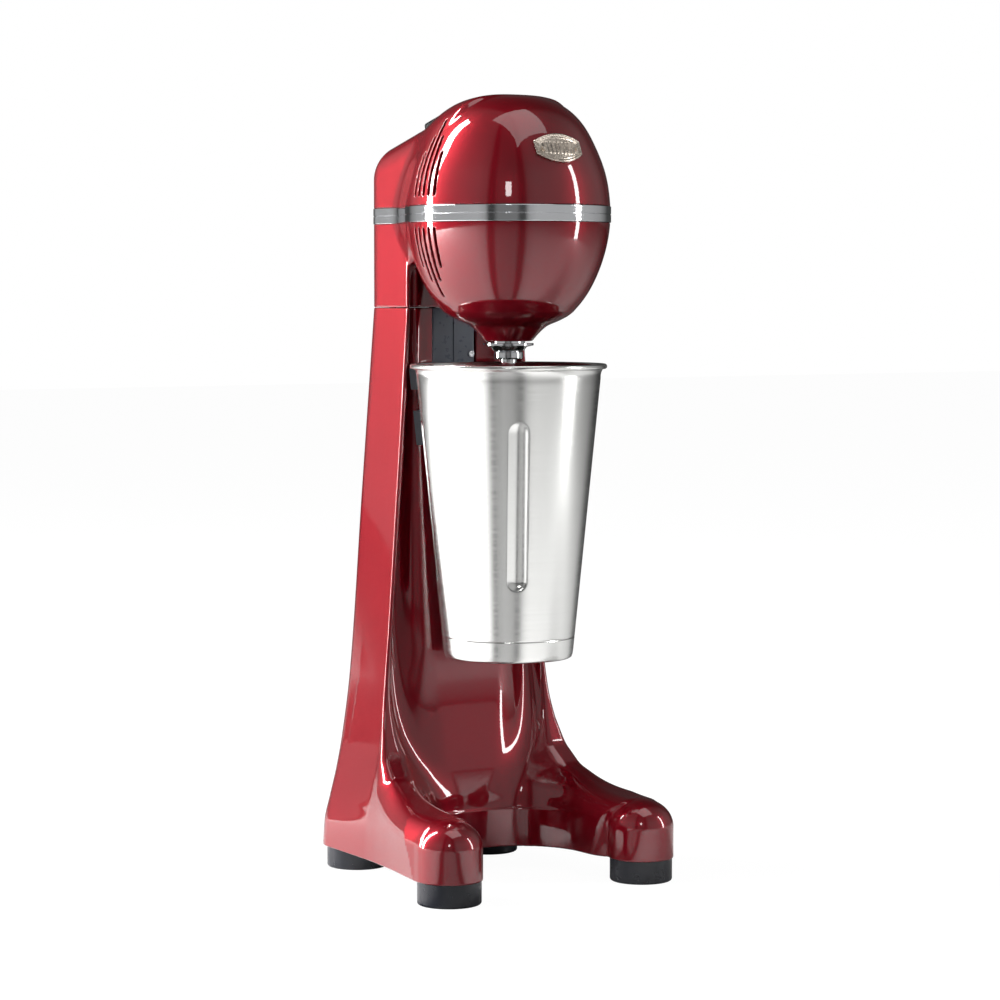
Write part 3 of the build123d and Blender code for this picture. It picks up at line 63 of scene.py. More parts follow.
# ------------------------------------------------------------------ curves and rounding
class Curve:
    """A value along a line, through a few (position, value) points, straight beyond its ends.
    It is smooth, and doesn't overshoot unless free is set, which makes its bend smooth too."""

    def __init__(self, *points, free=False):
        self.at, self.value = np.array(sorted(points), float).T
        gap = np.diff(self.at)
        rise = np.diff(self.value) / gap
        count = len(self.at)
        if free:
            rows = np.zeros((count, count))
            sums = np.zeros(count)
            for i in range(1, count - 1):
                rows[i, i - 1] = gap[i]
                rows[i, i] = 2 * (gap[i - 1] + gap[i])
                rows[i, i + 1] = gap[i - 1]
                sums[i] = 3 * (gap[i] * rise[i - 1] + gap[i - 1] * rise[i])
            rows[0, :2] = 2, 1
            sums[0] = 3 * rise[0]
            rows[-1, -2:] = 1, 2
            sums[-1] = 3 * rise[-1]
            self.slope = np.linalg.solve(rows, sums)
        else:
            self.slope = np.zeros(count)
            self.slope[0] = rise[0]
            self.slope[-1] = rise[-1]
            for i in range(1, count - 1):
                if rise[i - 1] * rise[i] > 0:
                    before = 2 * gap[i] + gap[i - 1]
                    after = gap[i] + 2 * gap[i - 1]
                    self.slope[i] = (before + after) / (before / rise[i - 1] + after / rise[i])

    def __call__(self, place):
        place = np.asarray(place, float)
        i = np.clip(np.searchsorted(self.at, place) - 1, 0, len(self.at) - 2)
        gap = self.at[i + 1] - self.at[i]
        share = (place - self.at[i]) / gap
        t = np.clip(share, 0, 1)
        past = (share - t) * gap
        inner = (
            (2 * t**3 - 3 * t**2 + 1) * self.value[i]
            + (t**3 - 2 * t**2 + t) * gap * self.slope[i]
            + (3 * t**2 - 2 * t**3) * self.value[i + 1]
            + (t**3 - t**2) * gap * self.slope[i + 1]
        )
        return inner + past * np.where(past > 0, self.slope[i + 1], self.slope[i])


def both(a, b, radius):
    """Field of what is inside both a and b, with the edge between them rounded."""
    inner = np.minimum(np.maximum(a, b), -radius)
    return inner + np.hypot(np.maximum(a + radius, 0), np.maximum(b + radius, 0))


def either(a, b, radius):
    """Field of what is inside a or b, with a fillet between them."""
    return -both(-a, -b, radius)


def steps(*runs):
    """Grid lines from (end, spacing) runs; the first run is its start alone."""
    lines = [runs[0]]
    for end, spacing in runs[1:]:
        count = max(1, round((end - lines[-1]) / spacing))
        lines.extend(np.linspace(lines[-1], end, count + 1)[1:])
    return np.array(lines)


def mirrored(lines):
    return np.concatenate([-lines[:0:-1], lines])


# ------------------------------------------------------------------ the stand's shape
# An EVEN number scales a field whose slope isn't 1, so that roundings keep their radius.
# Half widths, depths and corner radii of the body, against height.
FRONT_HALF = Curve(
    (14, 75.7), (30, 75.2), (45, 73.2), (62, 70.0), (83, 65.6), (123, 60.2), (235, 51.3), (352, 42.5),
)
BACK_HALF = Curve(
    (14, 70.4), (30, 68.4), (45, 64.0), (62, 59.2), (83, 55.2), (123, 51.0), (235, 47.0), (352, 42.5),
)
BACK_Y = Curve(
    (14, 119.0), (30, 119.0), (45, 118.6), (62, 118.0), (83, 117.0), (123, 114.0), (235, 106.2), (352, 98.5),
)
BACK_CORNER = Curve((14, 21.0), (62, 18.5), (123, 17.0), (352, 16.0))
WIDEST_Y = 45.0
SIDE_INSET = 0.7

# What the legs add to the half width, against y, and how far they follow the column's lean.
TOE_SPREAD = Curve((-70, 13.8), (-36, 8.8), (-10, 5.2), (14.5, 2.2), (35, 0.5), (48, 0.0), (60, 0.0))
LEG_LEAN = Curve((-70, 0.25), (-20, 0.30), (10, 0.5), (35, 0.9), (46, 1.0), (60, 1.0))
TOE_ROUND = 3.0

# The line over the legs and up the column's front, as (y, z), and the rounding along it.
RIDGE = [
    (-60, 50.0), (-42, 50.2), (-1.9, 55.2), (13.3, 60.6), (25.3, 67.0), (32.5, 74.0), (40, 89),
    (43.9, 104), (46, 124), (46.5, 160), (46.6, 235), (47.2, 352),
]
RIDGE_CURVE = Curve(*[((y + z) / math.sqrt(2), (z - y) / math.sqrt(2)) for y, z in RIDGE])
RIDGE_EVEN = 0.92
LIP_ROUND = Curve((50, 15.5), (58, 13), (66, 9), (75, 5.2), (88, 3.2), (105, 2.4), (150, 1.8), (352, 1.7))

# The notch between the legs and up the column's front, against height.
NOTCH_HALF = Curve(
    (14, 49.0), (40, 49.2), (50, 50.2), (62, 53.2), (75, 57.0), (88, 58.6), (100, 58.2), (125, 56.2),
    (235, 47.6), (352, 38.9),
)
NOTCH_BACK = Curve(
    (14, 39.0), (37.6, 39.0), (39.6, 40.4), (50, 42.0), (62, 44.5), (75, 48.0), (90, 52.0), (110, 55.5),
    (150, 58.5), (235, 61.5), (352, 63.0),
)
NOTCH_CORNER = Curve(
    (14, 44), (45, 43), (62, 38), (80, 29), (100, 20), (125, 13), (180, 6), (235, 3.4), (352, 1.6),
)
NOTCH_LIP_SHARE = 0.95

# The pillar that stands in the notch, against height.
PILLAR_HALF = Curve((50, 42), (90, 43), (125, 44), (235, 39.5), (352, 35.2))
PILLAR_FRONT = Curve((50, 46), (66, 45.2), (80, 45), (125, 45), (235, 51), (352, 56))
PILLAR_CORNER = Curve((50, 26), (90, 25), (125, 22), (235, 13), (352, 8))
PILLAR_FILLET = Curve((50, 16), (80, 18), (125, 13), (160, 8), (235, 3.5), (352, 1.6))
PILLAR_BACK_Y = 75.0

KNUCKLE_X, KNUCKLE_Y, KNUCKLE_R = 70.2, -42.0, 20.0
KNUCKLE_SHOULDER, KNUCKLE_TOP = 33.5, 50.5
KNUCKLE_FILLET = 1.6
CUP_CLEAR_LOW, CUP_CLEAR_HIGH = (128.0, 41.7), (310.6, 62.9)
STAND_CUP_ROUND = 2.2

# The hollow inside: behind HOLLOW_FRONT_Y in the column, below LEG_HOLLOW_Z in the legs.
STAND_WALL = 4.2
HOLLOW_FRONT_Y, LEG_HOLLOW_Z = 69.0, 17.5
FRONT_BOSS_R = 21.0
BACK_FOOT_X, BACK_FOOT_Y, BACK_BOSS_R = 49.2, 97.8, 8.0
BASE_PLATE_ROOM = 2.4
NO_LIMIT = -9.0

PANEL_HALF, PANEL_BACK_Y, PANEL_BOTTOM_Z = 16.3, 64.7, 152.2
GLAND_Z = 44.0
GLAND_BOSS_R, GLAND_BOSS_Y = 14.0, 105.0
GLAND_POCKET_R, GLAND_POCKET_Y = 9.5, 115.5
CORD_HOLE_R, CORD_HOLE_Y = 6.2, 95.0
HALF_SEAM = 0.15
FOOT_EDGE, SEAM_EDGE, PANEL_EDGE, POCKET_EDGE = 0.9, 0.7, 0.5, 0.4


def block(across, along, half, corner):
    """Plan field of a block: half its width across, ending at along = 0, with round corners."""
    a = across - (half - corner)
    b = along + corner
    return np.minimum(np.maximum(a, b), 0) + np.hypot(np.maximum(a, 0), np.maximum(b, 0)) - corner


def cup_room(x, y, z):
    """Field of the space that the cup needs, a cone round the spindle."""
    share = (z - CUP_CLEAR_LOW[0]) / (CUP_CLEAR_HIGH[0] - CUP_CLEAR_LOW[0])
    reach = CUP_CLEAR_LOW[1] + np.minimum(share, 1.0) * (CUP_CLEAR_HIGH[1] - CUP_CLEAR_LOW[1])
    return np.hypot(x, y) - reach


def stand_outer(x, y, z):
    """The stand's outer shape, with no underside and no top."""
    across = np.abs(x)
    front_half = FRONT_HALF(z)
    back_y = BACK_Y(z)
    taper = (front_half - BACK_HALF(z)) / (back_y - WIDEST_Y)
    lean = (FRONT_HALF(BASE_Z) - front_half) * (1 - LEG_LEAN(y))
    half = front_half + taper * (WIDEST_Y - y) + TOE_SPREAD(y) + lean
    side = across - np.minimum(half, KNUCKLE_X + KNUCKLE_R - SIDE_INSET)
    body = both(side, y - back_y, BACK_CORNER(z))
    along = (y + z) / math.sqrt(2)
    above = (z - y) / math.sqrt(2) - RIDGE_CURVE(along)
    lip = LIP_ROUND(z)
    body = both(body, above * RIDGE_EVEN, lip)
    body = both(body, KNUCKLE_Y - y, TOE_ROUND)
    notch = block(across, y - NOTCH_BACK(z), NOTCH_HALF(z), NOTCH_CORNER(z))
    body = both(body, -notch, lip * NOTCH_LIP_SHARE)
    pillar = block(across, PILLAR_FRONT(z) - y, PILLAR_HALF(z), PILLAR_CORNER(z))
    pillar = np.maximum(pillar, y - PILLAR_BACK_Y)
    body = either(body, pillar, PILLAR_FILLET(z))
    body = both(body, -cup_room(x, y, z), STAND_CUP_ROUND)
    reach = np.hypot(across - KNUCKLE_X, y - KNUCKLE_Y)
    rise = np.maximum(z - KNUCKLE_SHOULDER, 0) * KNUCKLE_R / (KNUCKLE_TOP - KNUCKLE_SHOULDER)
    knuckle = np.hypot(reach, rise) - KNUCKLE_R
    return either(body, knuckle, KNUCKLE_FILLET)


def stand_field(x, y, z):
    """The stand casting: its outer shape, hollowed, with bosses, panel channel and cord hole."""
    outer = stand_outer(x, y, z)
    across = np.abs(x)
    hollow = np.maximum(outer + STAND_WALL, np.minimum(HOLLOW_FRONT_Y - y, z - LEG_HOLLOW_Z))
    front_boss = FRONT_BOSS_R - np.hypot(across - KNUCKLE_X, y - KNUCKLE_Y)
    back_boss = BACK_BOSS_R - np.hypot(across - BACK_FOOT_X, y - BACK_FOOT_Y)
    hollow = np.maximum(hollow, np.maximum(front_boss, NO_LIMIT))
    hollow = np.maximum(hollow, np.minimum(back_boss, z - BASE_Z - BASE_PLATE_ROOM))
    cord = np.hypot(x, z - GLAND_Z)
    hollow = np.maximum(hollow, np.minimum(GLAND_BOSS_R - cord, y - GLAND_BOSS_Y))
    body = both(outer, BASE_Z - z, FOOT_EDGE)
    body = both(body, z - SEAM_Z + HALF_SEAM, SEAM_EDGE)
    channel = np.maximum(np.maximum(across - PANEL_HALF, y - PANEL_BACK_Y), PANEL_BOTTOM_Z - z)
    body = both(body, -channel, PANEL_EDGE)
    body = both(body, -np.maximum(cord - GLAND_POCKET_R, GLAND_POCKET_Y - y), POCKET_EDGE)
    return np.maximum(np.maximum(body, -hollow), np.minimum(CORD_HOLE_R - cord, y - CORD_HOLE_Y))


# ------------------------------------------------------------------ the head's shape
BALL_Z = 410.0
BALL = Curve(
    (-62, 73.2), (-52, 70.7), (-37, 66.5), (-22, 63.5), (-6.5, 62.1), (8, 62.0), (23.5, 63.5), (37.2, 65.9),
    (51, 69.9), (60, 71.7), (73, 71.9), (82, 70.6), (90, 70.0), (98, 70.6), free=True,
)
BALL_EVEN = 0.97
BALL_LOW_Z, BALL_LOW_ROUND = 347.6, 2.6
NECK = Curve(
    (331.8, 14.4), (335.4, 17.4), (339, 21.0), (341, 23.5), (344.5, 31.4), (347, 35.3), (352, 37.0),
)
NECK_EVEN = 0.6
NECK_LOW_Z, NECK_HIGH_Z = 331.8, 350.0
NECK_EDGE, NECK_FILLET = 0.7, 3.0
NECK_REACH, NECK_DROP = 43.5, 30.0

HOOD_HALF, HOOD_CORNER = 42.5, 16.0
HOOD_BACK_Y = 98.5
HOOD_TOP_Z, HOOD_TOP_SLOPE, HOOD_TOP_EVEN = 474.6, 0.272, 0.965
HOOD_TOP_ROUND = 18.0
HOOD_FRONT = Curve(
    (352, 47.2), (372, 47.0), (384, 44.0), (396, 37.0), (410, 26.0), (425, 16.0), (440, 6.0), (470, -6.0),
)
JOINT_ROUND = Curve(
    (352, 3.0), (372, 4.0), (384, 8.0), (396, 14.0), (412, 17.0), (430, 13.0), (450, 8.0), (480, 6.0),
)
HOOD_CUP_TOP_Z, HOOD_CUP_ROUND = 378.0, 2.0
HOOD_EDGE_ROUND = 1.7
CAVE_TOP_Z, CAVE_HALF, CAVE_CORNER, CAVE_BACK_Y = 377.0, 38.9, 11.0, 63.0
CAVE_EVEN = 0.2
HEAD_PILLAR_FRONT_Y, HEAD_PILLAR_HALF, HEAD_PILLAR_CORNER = 56.0, 35.2, 8.0
HEAD_PILLAR_TOP_Z, HEAD_PILLAR_FILLET = 400.0, 1.6

VENT_BEARINGS = [-100.0, -95.0, -90.0, -85.0, -80.0]
VENT_TOPS = [445.0, 454.5, 464.0, 454.5, 445.0]
VENT_BOTTOMS = [376.5, 368.5, 359.0, 368.5, 376.5]
VENT_ABOVE_BAND, VENT_BELOW_BAND = 10.5, 8.5
VENT_HALF, VENT_EDGE = 1.0, 0.45
VENT_INNER_X = 30.0

# The hollow inside: the ball's room in front of MOTOR_BACK_Y, the hood's behind it.
HEAD_WALL = 4.0
MOTOR_BACK_Y, MOTOR_LOW_Z = 40.0, 335.0
HOOD_ROOM_Z = 381.0
SPINDLE_BORE_R, SPINDLE_BORE_TOP_Z = 8.0, 360.0
BAND_ROOM, BAND_GROOVE_DEPTH, BAND_GROOVE_EDGE = 0.06, 1.0, 0.35
COVER_SEAM, HEAD_SEAM_EDGE = 0.05, 0.6
SWITCH_Y, SWITCH_HALF_LENGTH, SWITCH_HALF_WIDTH, SWITCH_CORNER = 63.0, 11.1, 7.8, 1.0
SWITCH_HOLE_LOW_Z = 440.0


def round_part(x, y, z):
    """The ball and the neck below it."""
    reach = np.hypot(x, y)
    lift = z - BALL_Z
    turn = np.degrees(np.arctan2(lift, np.maximum(reach, 1e-6)))
    ball = (np.hypot(reach, lift) - BALL(turn)) * BALL_EVEN
    ball = both(ball, BALL_LOW_Z - z, BALL_LOW_ROUND)
    neck = np.maximum((reach - NECK(z)) * NECK_EVEN, z - NECK_HIGH_Z)
    neck = both(neck, NECK_LOW_Z - z, NECK_EDGE)
    return either(ball, neck, NECK_FILLET)


def hood_part(x, y, z):
    """The hood behind the ball, with the cave over the cup's rim and the pillar's upper end."""
    across = np.abs(x)
    hood = both(across - HOOD_HALF, y - HOOD_BACK_Y, HOOD_CORNER)
    top = (z - (HOOD_TOP_Z - HOOD_TOP_SLOPE * y)) * HOOD_TOP_EVEN
    hood = both(hood, top, HOOD_TOP_ROUND)
    hood = both(hood, HOOD_FRONT(z) - y, HOOD_EDGE_ROUND)
    aside = np.maximum(across - (CAVE_HALF - CAVE_CORNER), 0)
    above = np.maximum(z - (CAVE_TOP_Z - CAVE_CORNER), 0)
    cave = np.hypot(aside, above) - CAVE_CORNER
    cave = np.maximum(cave, np.minimum(np.maximum(across - CAVE_HALF, z - CAVE_TOP_Z), 0) * CAVE_EVEN)
    cave = np.maximum(cave, y - CAVE_BACK_Y)
    hood = both(hood, -cave, HOOD_EDGE_ROUND)
    pillar = block(across, HEAD_PILLAR_FRONT_Y - y, HEAD_PILLAR_HALF, HEAD_PILLAR_CORNER)
    pillar = np.maximum(np.maximum(pillar, y - PILLAR_BACK_Y), z - HEAD_PILLAR_TOP_Z)
    hood = either(hood, pillar, HEAD_PILLAR_FILLET)
    return both(hood, np.minimum(-cup_room(x, y, z), HOOD_CUP_TOP_Z - z), HOOD_CUP_ROUND)


def head_outer(x, y, z):
    """The whole head's outer shape: ball, neck and hood, with no seams."""
    return either(round_part(x, y, z), hood_part(x, y, z), JOINT_ROUND(z))


def vent_slots(x, y, z):
    """Field of the slots through both sides of the ball."""
    across = -np.abs(x)
    slots = None
    for bearing, high, low in zip(VENT_BEARINGS, VENT_TOPS, VENT_BOTTOMS):
        turn = math.radians(bearing)
        aside = across * math.cos(turn) + y * math.sin(turn)
        for bottom, top in ((BAND_Z + VENT_ABOVE_BAND, high), (low, BAND_Z - VENT_BELOW_BAND)):
            beyond = np.maximum(np.abs(z - (bottom + top) / 2) - (top - bottom) / 2 + VENT_HALF, 0)
            slot = np.hypot(aside, beyond) - VENT_HALF
            slots = slot if slots is None else np.minimum(slots, slot)
    return np.maximum(slots, VENT_INNER_X + across)


def head_shell(x, y, z):
    """Both halves of the head together: hollowed, with vents, band groove and spindle bore."""
    outer = head_outer(x, y, z)
    hood_room = np.where(z < HOOD_ROOM_Z, HOLLOW_FRONT_Y - y, NO_LIMIT)
    hollow = np.maximum(outer + HEAD_WALL, np.where(y > MOTOR_BACK_Y, hood_room, MOTOR_LOW_Z - z))
    body = both(outer, -vent_slots(x, y, z), VENT_EDGE)
    groove = np.maximum(np.abs(z - BAND_Z) - BAND_HALF - BAND_ROOM, -(outer + BAND_GROOVE_DEPTH))
    body = both(body, -groove, BAND_GROOVE_EDGE)
    body = np.maximum(body, -hollow)
    return np.maximum(body, np.minimum(SPINDLE_BORE_R - np.hypot(x, y), SPINDLE_BORE_TOP_Z - z))


def head_field(x, y, z):
    """The head casting, below the trim band's middle."""
    body = both(head_shell(x, y, z), z - BAND_Z + COVER_SEAM, COVER_SEAM)
    drop = np.where(np.hypot(x, y) < NECK_REACH, NECK_DROP, 0)
    return both(body, SEAM_Z + HALF_SEAM - z - drop, HEAD_SEAM_EDGE)


def cover_field(x, y, z):
    """The top cover, above the trim band's middle, with the switch's opening."""
    opening = block(np.abs(x), np.abs(y - SWITCH_Y) - SWITCH_HALF_LENGTH, SWITCH_HALF_WIDTH, SWITCH_CORNER)
    body = np.maximum(head_shell(x, y, z), BAND_Z + COVER_SEAM - z)
    return np.maximum(body, -np.maximum(opening, SWITCH_HOLE_LOW_Z - z))


# ------------------------------------------------------------------ meshes from fields
def skin(name, field, xs, ys, zs, widen=None):
    """A mesh of the surface where field is 0, on a grid that widen(z) may stretch in x.
    Each cell that the surface crosses gets one vertex, which is then moved onto the surface."""
    spread = np.ones(len(zs)) if widen is None else widen(zs)
    shape = (len(xs), len(ys), len(zs))
    values = np.empty(shape)
    for k, z in enumerate(zs):
        values[:, :, k] = field(xs[:, None] * spread[k], ys[None, :], np.full((1, 1), z))
    inside = values < 0
    total = np.zeros((np.prod(shape), 3))
    count = np.zeros(np.prod(shape))
    strides = (shape[1] * shape[2], shape[2], 1)
    quads = []
    for axis in range(3):
        low = [slice(None)] * 3
        high = [slice(None)] * 3
        low[axis] = slice(None, -1)
        high[axis] = slice(1, None)
        cut = np.argwhere(inside[tuple(low)] != inside[tuple(high)])
        other = cut.copy()
        other[:, axis] += 1
        a = values[tuple(cut.T)]
        b = values[tuple(other.T)]
        share = (a / (a - b))[:, None]
        place_a = np.stack([xs[cut[:, 0]] * spread[cut[:, 2]], ys[cut[:, 1]], zs[cut[:, 2]]], 1)
        place_b = np.stack([xs[other[:, 0]] * spread[other[:, 2]], ys[other[:, 1]], zs[other[:, 2]]], 1)
        crossing = place_a + share * (place_b - place_a)
        first, second = [n for n in range(3) if n != axis]
        flat = cut @ np.array(strides)
        beside, below = flat - strides[first], flat - strides[second]
        corners = [flat, beside, beside - strides[second], below]
        whole = (cut[:, first] > 0) & (cut[:, second] > 0)
        for corner in corners:
            ok = corner >= 0
            for n in range(3):
                total[:, n] += np.bincount(corner[ok], crossing[ok, n], len(count))
            count += np.bincount(corner[ok], minlength=len(count))
        quad = np.stack(corners, 1)[whole]
        turned = (a < 0)[whole] != (axis == 1)
        quad[turned] = quad[turned][:, ::-1]
        quads.append(quad)
    quads = np.concatenate(quads)
    used, quads = np.unique(quads, return_inverse=True)
    quads = quads.reshape(-1, 4)[:, ::-1]
    points = total[used] / count[used][:, None]
    start = points.copy()
    for _ in range(5):
        value, slope = sloped(field, points)
        points -= np.clip(value / np.maximum((slope**2).sum(1), 0.2), -0.5, 0.5)[:, None] * slope
        points = np.clip(points, start - 1.2, start + 1.2)
    normals = sloped(field, points)[1]
    normals /= np.maximum(np.linalg.norm(normals, axis=1), 1e-9)[:, None]
    return mesh_object(name, points, quads, normals)


def sloped(field, points, step=0.08):
    """The field's value and slope at points."""
    x, y, z = points.T
    value = field(x, y, z)
    slope = np.stack(
        [
            field(x + step, y, z) - field(x - step, y, z),
            field(x, y + step, z) - field(x, y - step, z),
            field(x, y, z + step) - field(x, y, z - step),
        ],
        1,
    )
    return value, slope / (2 * step)


def mesh_object(name, points, faces, normals=None):
    """A mesh object from points in millimetres from the spindle axis."""
    mesh = bpy.data.meshes.new(name)
    placed = (np.asarray(points, float) + (0, SPINDLE_Y, 0)) * MM
    mesh.from_pydata(placed.tolist(), [], faces.tolist() if isinstance(faces, np.ndarray) else faces)
    mesh.validate()
    mesh.polygons.foreach_set("use_smooth", [True] * len(mesh.polygons))
    if normals is not None and len(mesh.vertices) == len(normals):
        mesh.normals_split_custom_set_from_vertices(normals.tolist())
    mesh.update()
    piece = bpy.data.objects.new(name, mesh)
    bpy.context.scene.collection.objects.link(piece)
    return piece


def dress(piece, body, material, slot, *replaced):
    """Gives a piece its body and material, and hides the CAD nodes that it stands for. The slot argument is
    not used.
    """
    piece.data.materials.clear()
    piece.data.materials.append(material)
    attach(piece, body)
    if replaced:
        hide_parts(*replaced)
    return piece


def turned(name, outline, angles=None, centre=(0.0, 0.0), shift=None):
    """A mesh turned about an upright axis from a closed loop of (radius, height) points.
    shift(angle, height, radius) is added to the radius. Points on the axis are joined."""
    angles = np.radians(np.arange(0, 360, 3.0)) if angles is None else np.radians(angles)
    outline = np.array(outline, float)
    count, turns = len(outline), len(angles)
    radius = np.repeat(outline[:, :1], turns, 1)
    height = np.repeat(outline[:, 1:], turns, 1)
    around = np.repeat(angles[None, :], count, 0)
    if shift is not None:
        radius = np.where(radius > 1e-6, radius + shift(around, height, radius), radius)
    points = np.stack(
        [centre[0] + radius * np.sin(around), centre[1] - radius * np.cos(around), height], 2
    ).reshape(-1, 3)
    index = np.arange(count * turns).reshape(count, turns)
    for row in range(count):
        if outline[row, 0] < 1e-6:
            index[row] = index[row, 0]
    faces = []
    for row in range(count):
        here, there = index[row], index[(row + 1) % count]
        if outline[row, 0] < 1e-6 and outline[(row + 1) % count, 0] < 1e-6:
            continue
        for turn in range(turns):
            after = (turn + 1) % turns
            corners = [here[turn], here[after], there[after], there[turn]]
            faces.append(list(dict.fromkeys(int(c) for c in corners)))
    used = sorted({c for face in faces for c in face})
    renumber = {c: n for n, c in enumerate(used)}
    piece = mesh_object(name, points[used], [[renumber[c] for c in face] for face in faces])
    return weighted(piece)


def weighted(piece):
    """Smooth shading that keeps the flats flat next to small rounded edges."""
    modifier = piece.modifiers.new("even_shading", "WEIGHTED_NORMAL")
    modifier.mode = "FACE_AREA"
    modifier.weight = 80
    return piece


def eased(points, radius=0.5, pieces=4):
    """A closed outline with its corners rounded by up to radius."""
    points = [np.array(p, float) for p in points]
    smooth = []
    for i, corner in enumerate(points):
        before, after = points[i - 1] - corner, points[(i + 1) % len(points)] - corner
        long_before, long_after = np.linalg.norm(before), np.linalg.norm(after)
        if corner[0] < 1e-6 and (points[i - 1][0] < 1e-6 or points[(i + 1) % len(points)][0] < 1e-6):
            smooth.append(tuple(corner))
            continue
        reach = min(radius, long_before * 0.45, long_after * 0.45)
        start = corner + before / long_before * reach
        end = corner + after / long_after * reach
        for n in range(pieces + 1):
            t = n / pieces
            smooth.append(tuple((1 - t) ** 2 * start + 2 * t * (1 - t) * corner + t**2 * end))
    return smooth


# ------------------------------------------------------------------ materials
class Finish:
    """A procedural material, with the few node shapes that all of them share."""

    def __init__(self, name, colour, roughness, metallic=0.0, **sockets):
        self.material = bpy.data.materials.new(name)
        self.material.use_nodes = True
        self.tree = self.material.node_tree
        self.shader = self.tree.nodes["Principled BSDF"]
        self.place = self.tree.nodes.new("ShaderNodeTexCoord").outputs["Object"]
        self.shader.inputs["Base Color"].default_value = (*colour, 1)
        self.shader.inputs["Roughness"].default_value = roughness
        self.shader.inputs["Metallic"].default_value = metallic
        for socket, value in sockets.items():
            self.shader.inputs[socket.replace("_", " ")].default_value = value

    def noise(self, scale, detail=3.0, stretch=(1, 1, 1), rough=0.5):
        mapping = self.tree.nodes.new("ShaderNodeMapping")
        mapping.inputs["Scale"].default_value = stretch
        self.tree.links.new(self.place, mapping.inputs["Vector"])
        texture = self.tree.nodes.new("ShaderNodeTexNoise")
        texture.inputs["Scale"].default_value = scale
        texture.inputs["Detail"].default_value = detail
        texture.inputs["Roughness"].default_value = rough
        self.tree.links.new(mapping.outputs["Vector"], texture.inputs["Vector"])
        return texture.outputs["Fac"]

    def cells(self, scale):
        texture = self.tree.nodes.new("ShaderNodeTexVoronoi")
        texture.inputs["Scale"].default_value = scale
        self.tree.links.new(self.place, texture.inputs["Vector"])
        return texture.outputs["Color"]

    def spread(self, value, low, high, start=0.35, end=0.65):
        node = self.tree.nodes.new("ShaderNodeMapRange")
        node.inputs["From Min"].default_value = start
        node.inputs["From Max"].default_value = end
        node.inputs["To Min"].default_value = low
        node.inputs["To Max"].default_value = high
        self.tree.links.new(value, node.inputs["Value"])
        return node.outputs["Result"]

    def colours(self, value, *stops):
        ramp = self.tree.nodes.new("ShaderNodeValToRGB")
        points = ramp.color_ramp.elements
        for element, (place, colour) in zip([points[0], points[1]], (stops[0], stops[-1])):
            element.position = place
            element.color = (*colour, 1)
        for place, colour in stops[1:-1]:
            element = points.new(place)
            element.color = (*colour, 1)
        self.tree.links.new(value, ramp.inputs["Fac"])
        self.tree.links.new(ramp.outputs["Color"], self.shader.inputs["Base Color"])
        return self

    def roughness(self, value):
        self.tree.links.new(value, self.shader.inputs["Roughness"])
        return self

    def bump(self, value, strength, distance, coat=False):
        node = self.tree.nodes.new("ShaderNodeBump")
        node.inputs["Strength"].default_value = strength
        node.inputs["Distance"].default_value = distance
        self.tree.links.new(value, node.inputs["Height"])
        earlier = self.shader.inputs["Normal"].links
        if earlier:
            self.tree.links.new(earlier[0].from_socket, node.inputs["Normal"])
        self.tree.links.new(node.outputs["Normal"], self.shader.inputs["Normal"])
        if coat:
            self.tree.links.new(node.outputs["Normal"], self.shader.inputs["Coat Normal"])
        return self

    def brushed(self, amount):
        """Stretches highlights across fine lines that run round the upright axis."""
        self.shader.inputs["Anisotropic"].default_value = amount
        tangent = self.tree.nodes.new("ShaderNodeTangent")
        tangent.direction_type = "RADIAL"
        tangent.axis = "Z"
        self.tree.links.new(tangent.outputs["Tangent"], self.shader.inputs["Tangent"])
        return self


def paint():
    finish = Finish(
        "candy_red_paint", (0.16, 0.0025, 0.008), 0.38, 0.60,
        Coat_Weight=1.0, Coat_Roughness=0.03, Coat_IOR=1.68, Specular_IOR_Level=0.2,
        Specular_Tint=(1.0, 0.06, 0.10, 1.0),
    )
    flakes = finish.cells(5200)
    finish.colours(finish.noise(9, 2), (0.3, (0.15, 0.002, 0.007)), (0.7, (0.17, 0.0025, 0.009)))
    finish.roughness(finish.spread(flakes, 0.30, 0.46, 0.2, 0.8))
    finish.bump(finish.noise(420, 2), 0.012, 0.001, coat=True)
    return finish.material


def chrome(name="polished_chrome", colour=(0.80, 0.81, 0.83), rough=0.05):
    finish = Finish(name, colour, rough, 1.0)
    finish.roughness(finish.spread(finish.noise(160, 5, (1, 1, 3)), rough * 0.7, rough * 2.2))
    finish.bump(finish.noise(900, 3), 0.01, 0.0005)
    return finish.material


def cup_steel():
    finish = Finish("brushed_cup_steel", (0.80, 0.80, 0.78), 0.2, 1.0)
    streaks = finish.noise(1.0, 4, (10, 10, 2600), 0.6)
    finish.colours(streaks, (0.3, (0.78, 0.78, 0.76)), (0.7, (0.82, 0.82, 0.805)))
    finish.roughness(finish.spread(finish.noise(1.0, 3, (20, 20, 900), 0.5), 0.15, 0.20))
    finish.bump(streaks, 0.012, 0.0003)
    return finish.brushed(0.7).material


def satin_metal(name, colour, rough, grain=700, depth=0.05):
    finish = Finish(name, colour, rough, 1.0)
    tone = [tuple(c * k for c in colour) for k in (0.86, 1.08)]
    finish.colours(finish.noise(60, 5), (0.3, tone[0]), (0.7, tone[1]))
    finish.roughness(finish.spread(finish.noise(grain * 0.4, 4), rough * 0.75, rough * 1.3))
    finish.bump(finish.noise(grain, 3), depth, 0.0004)
    return finish.material


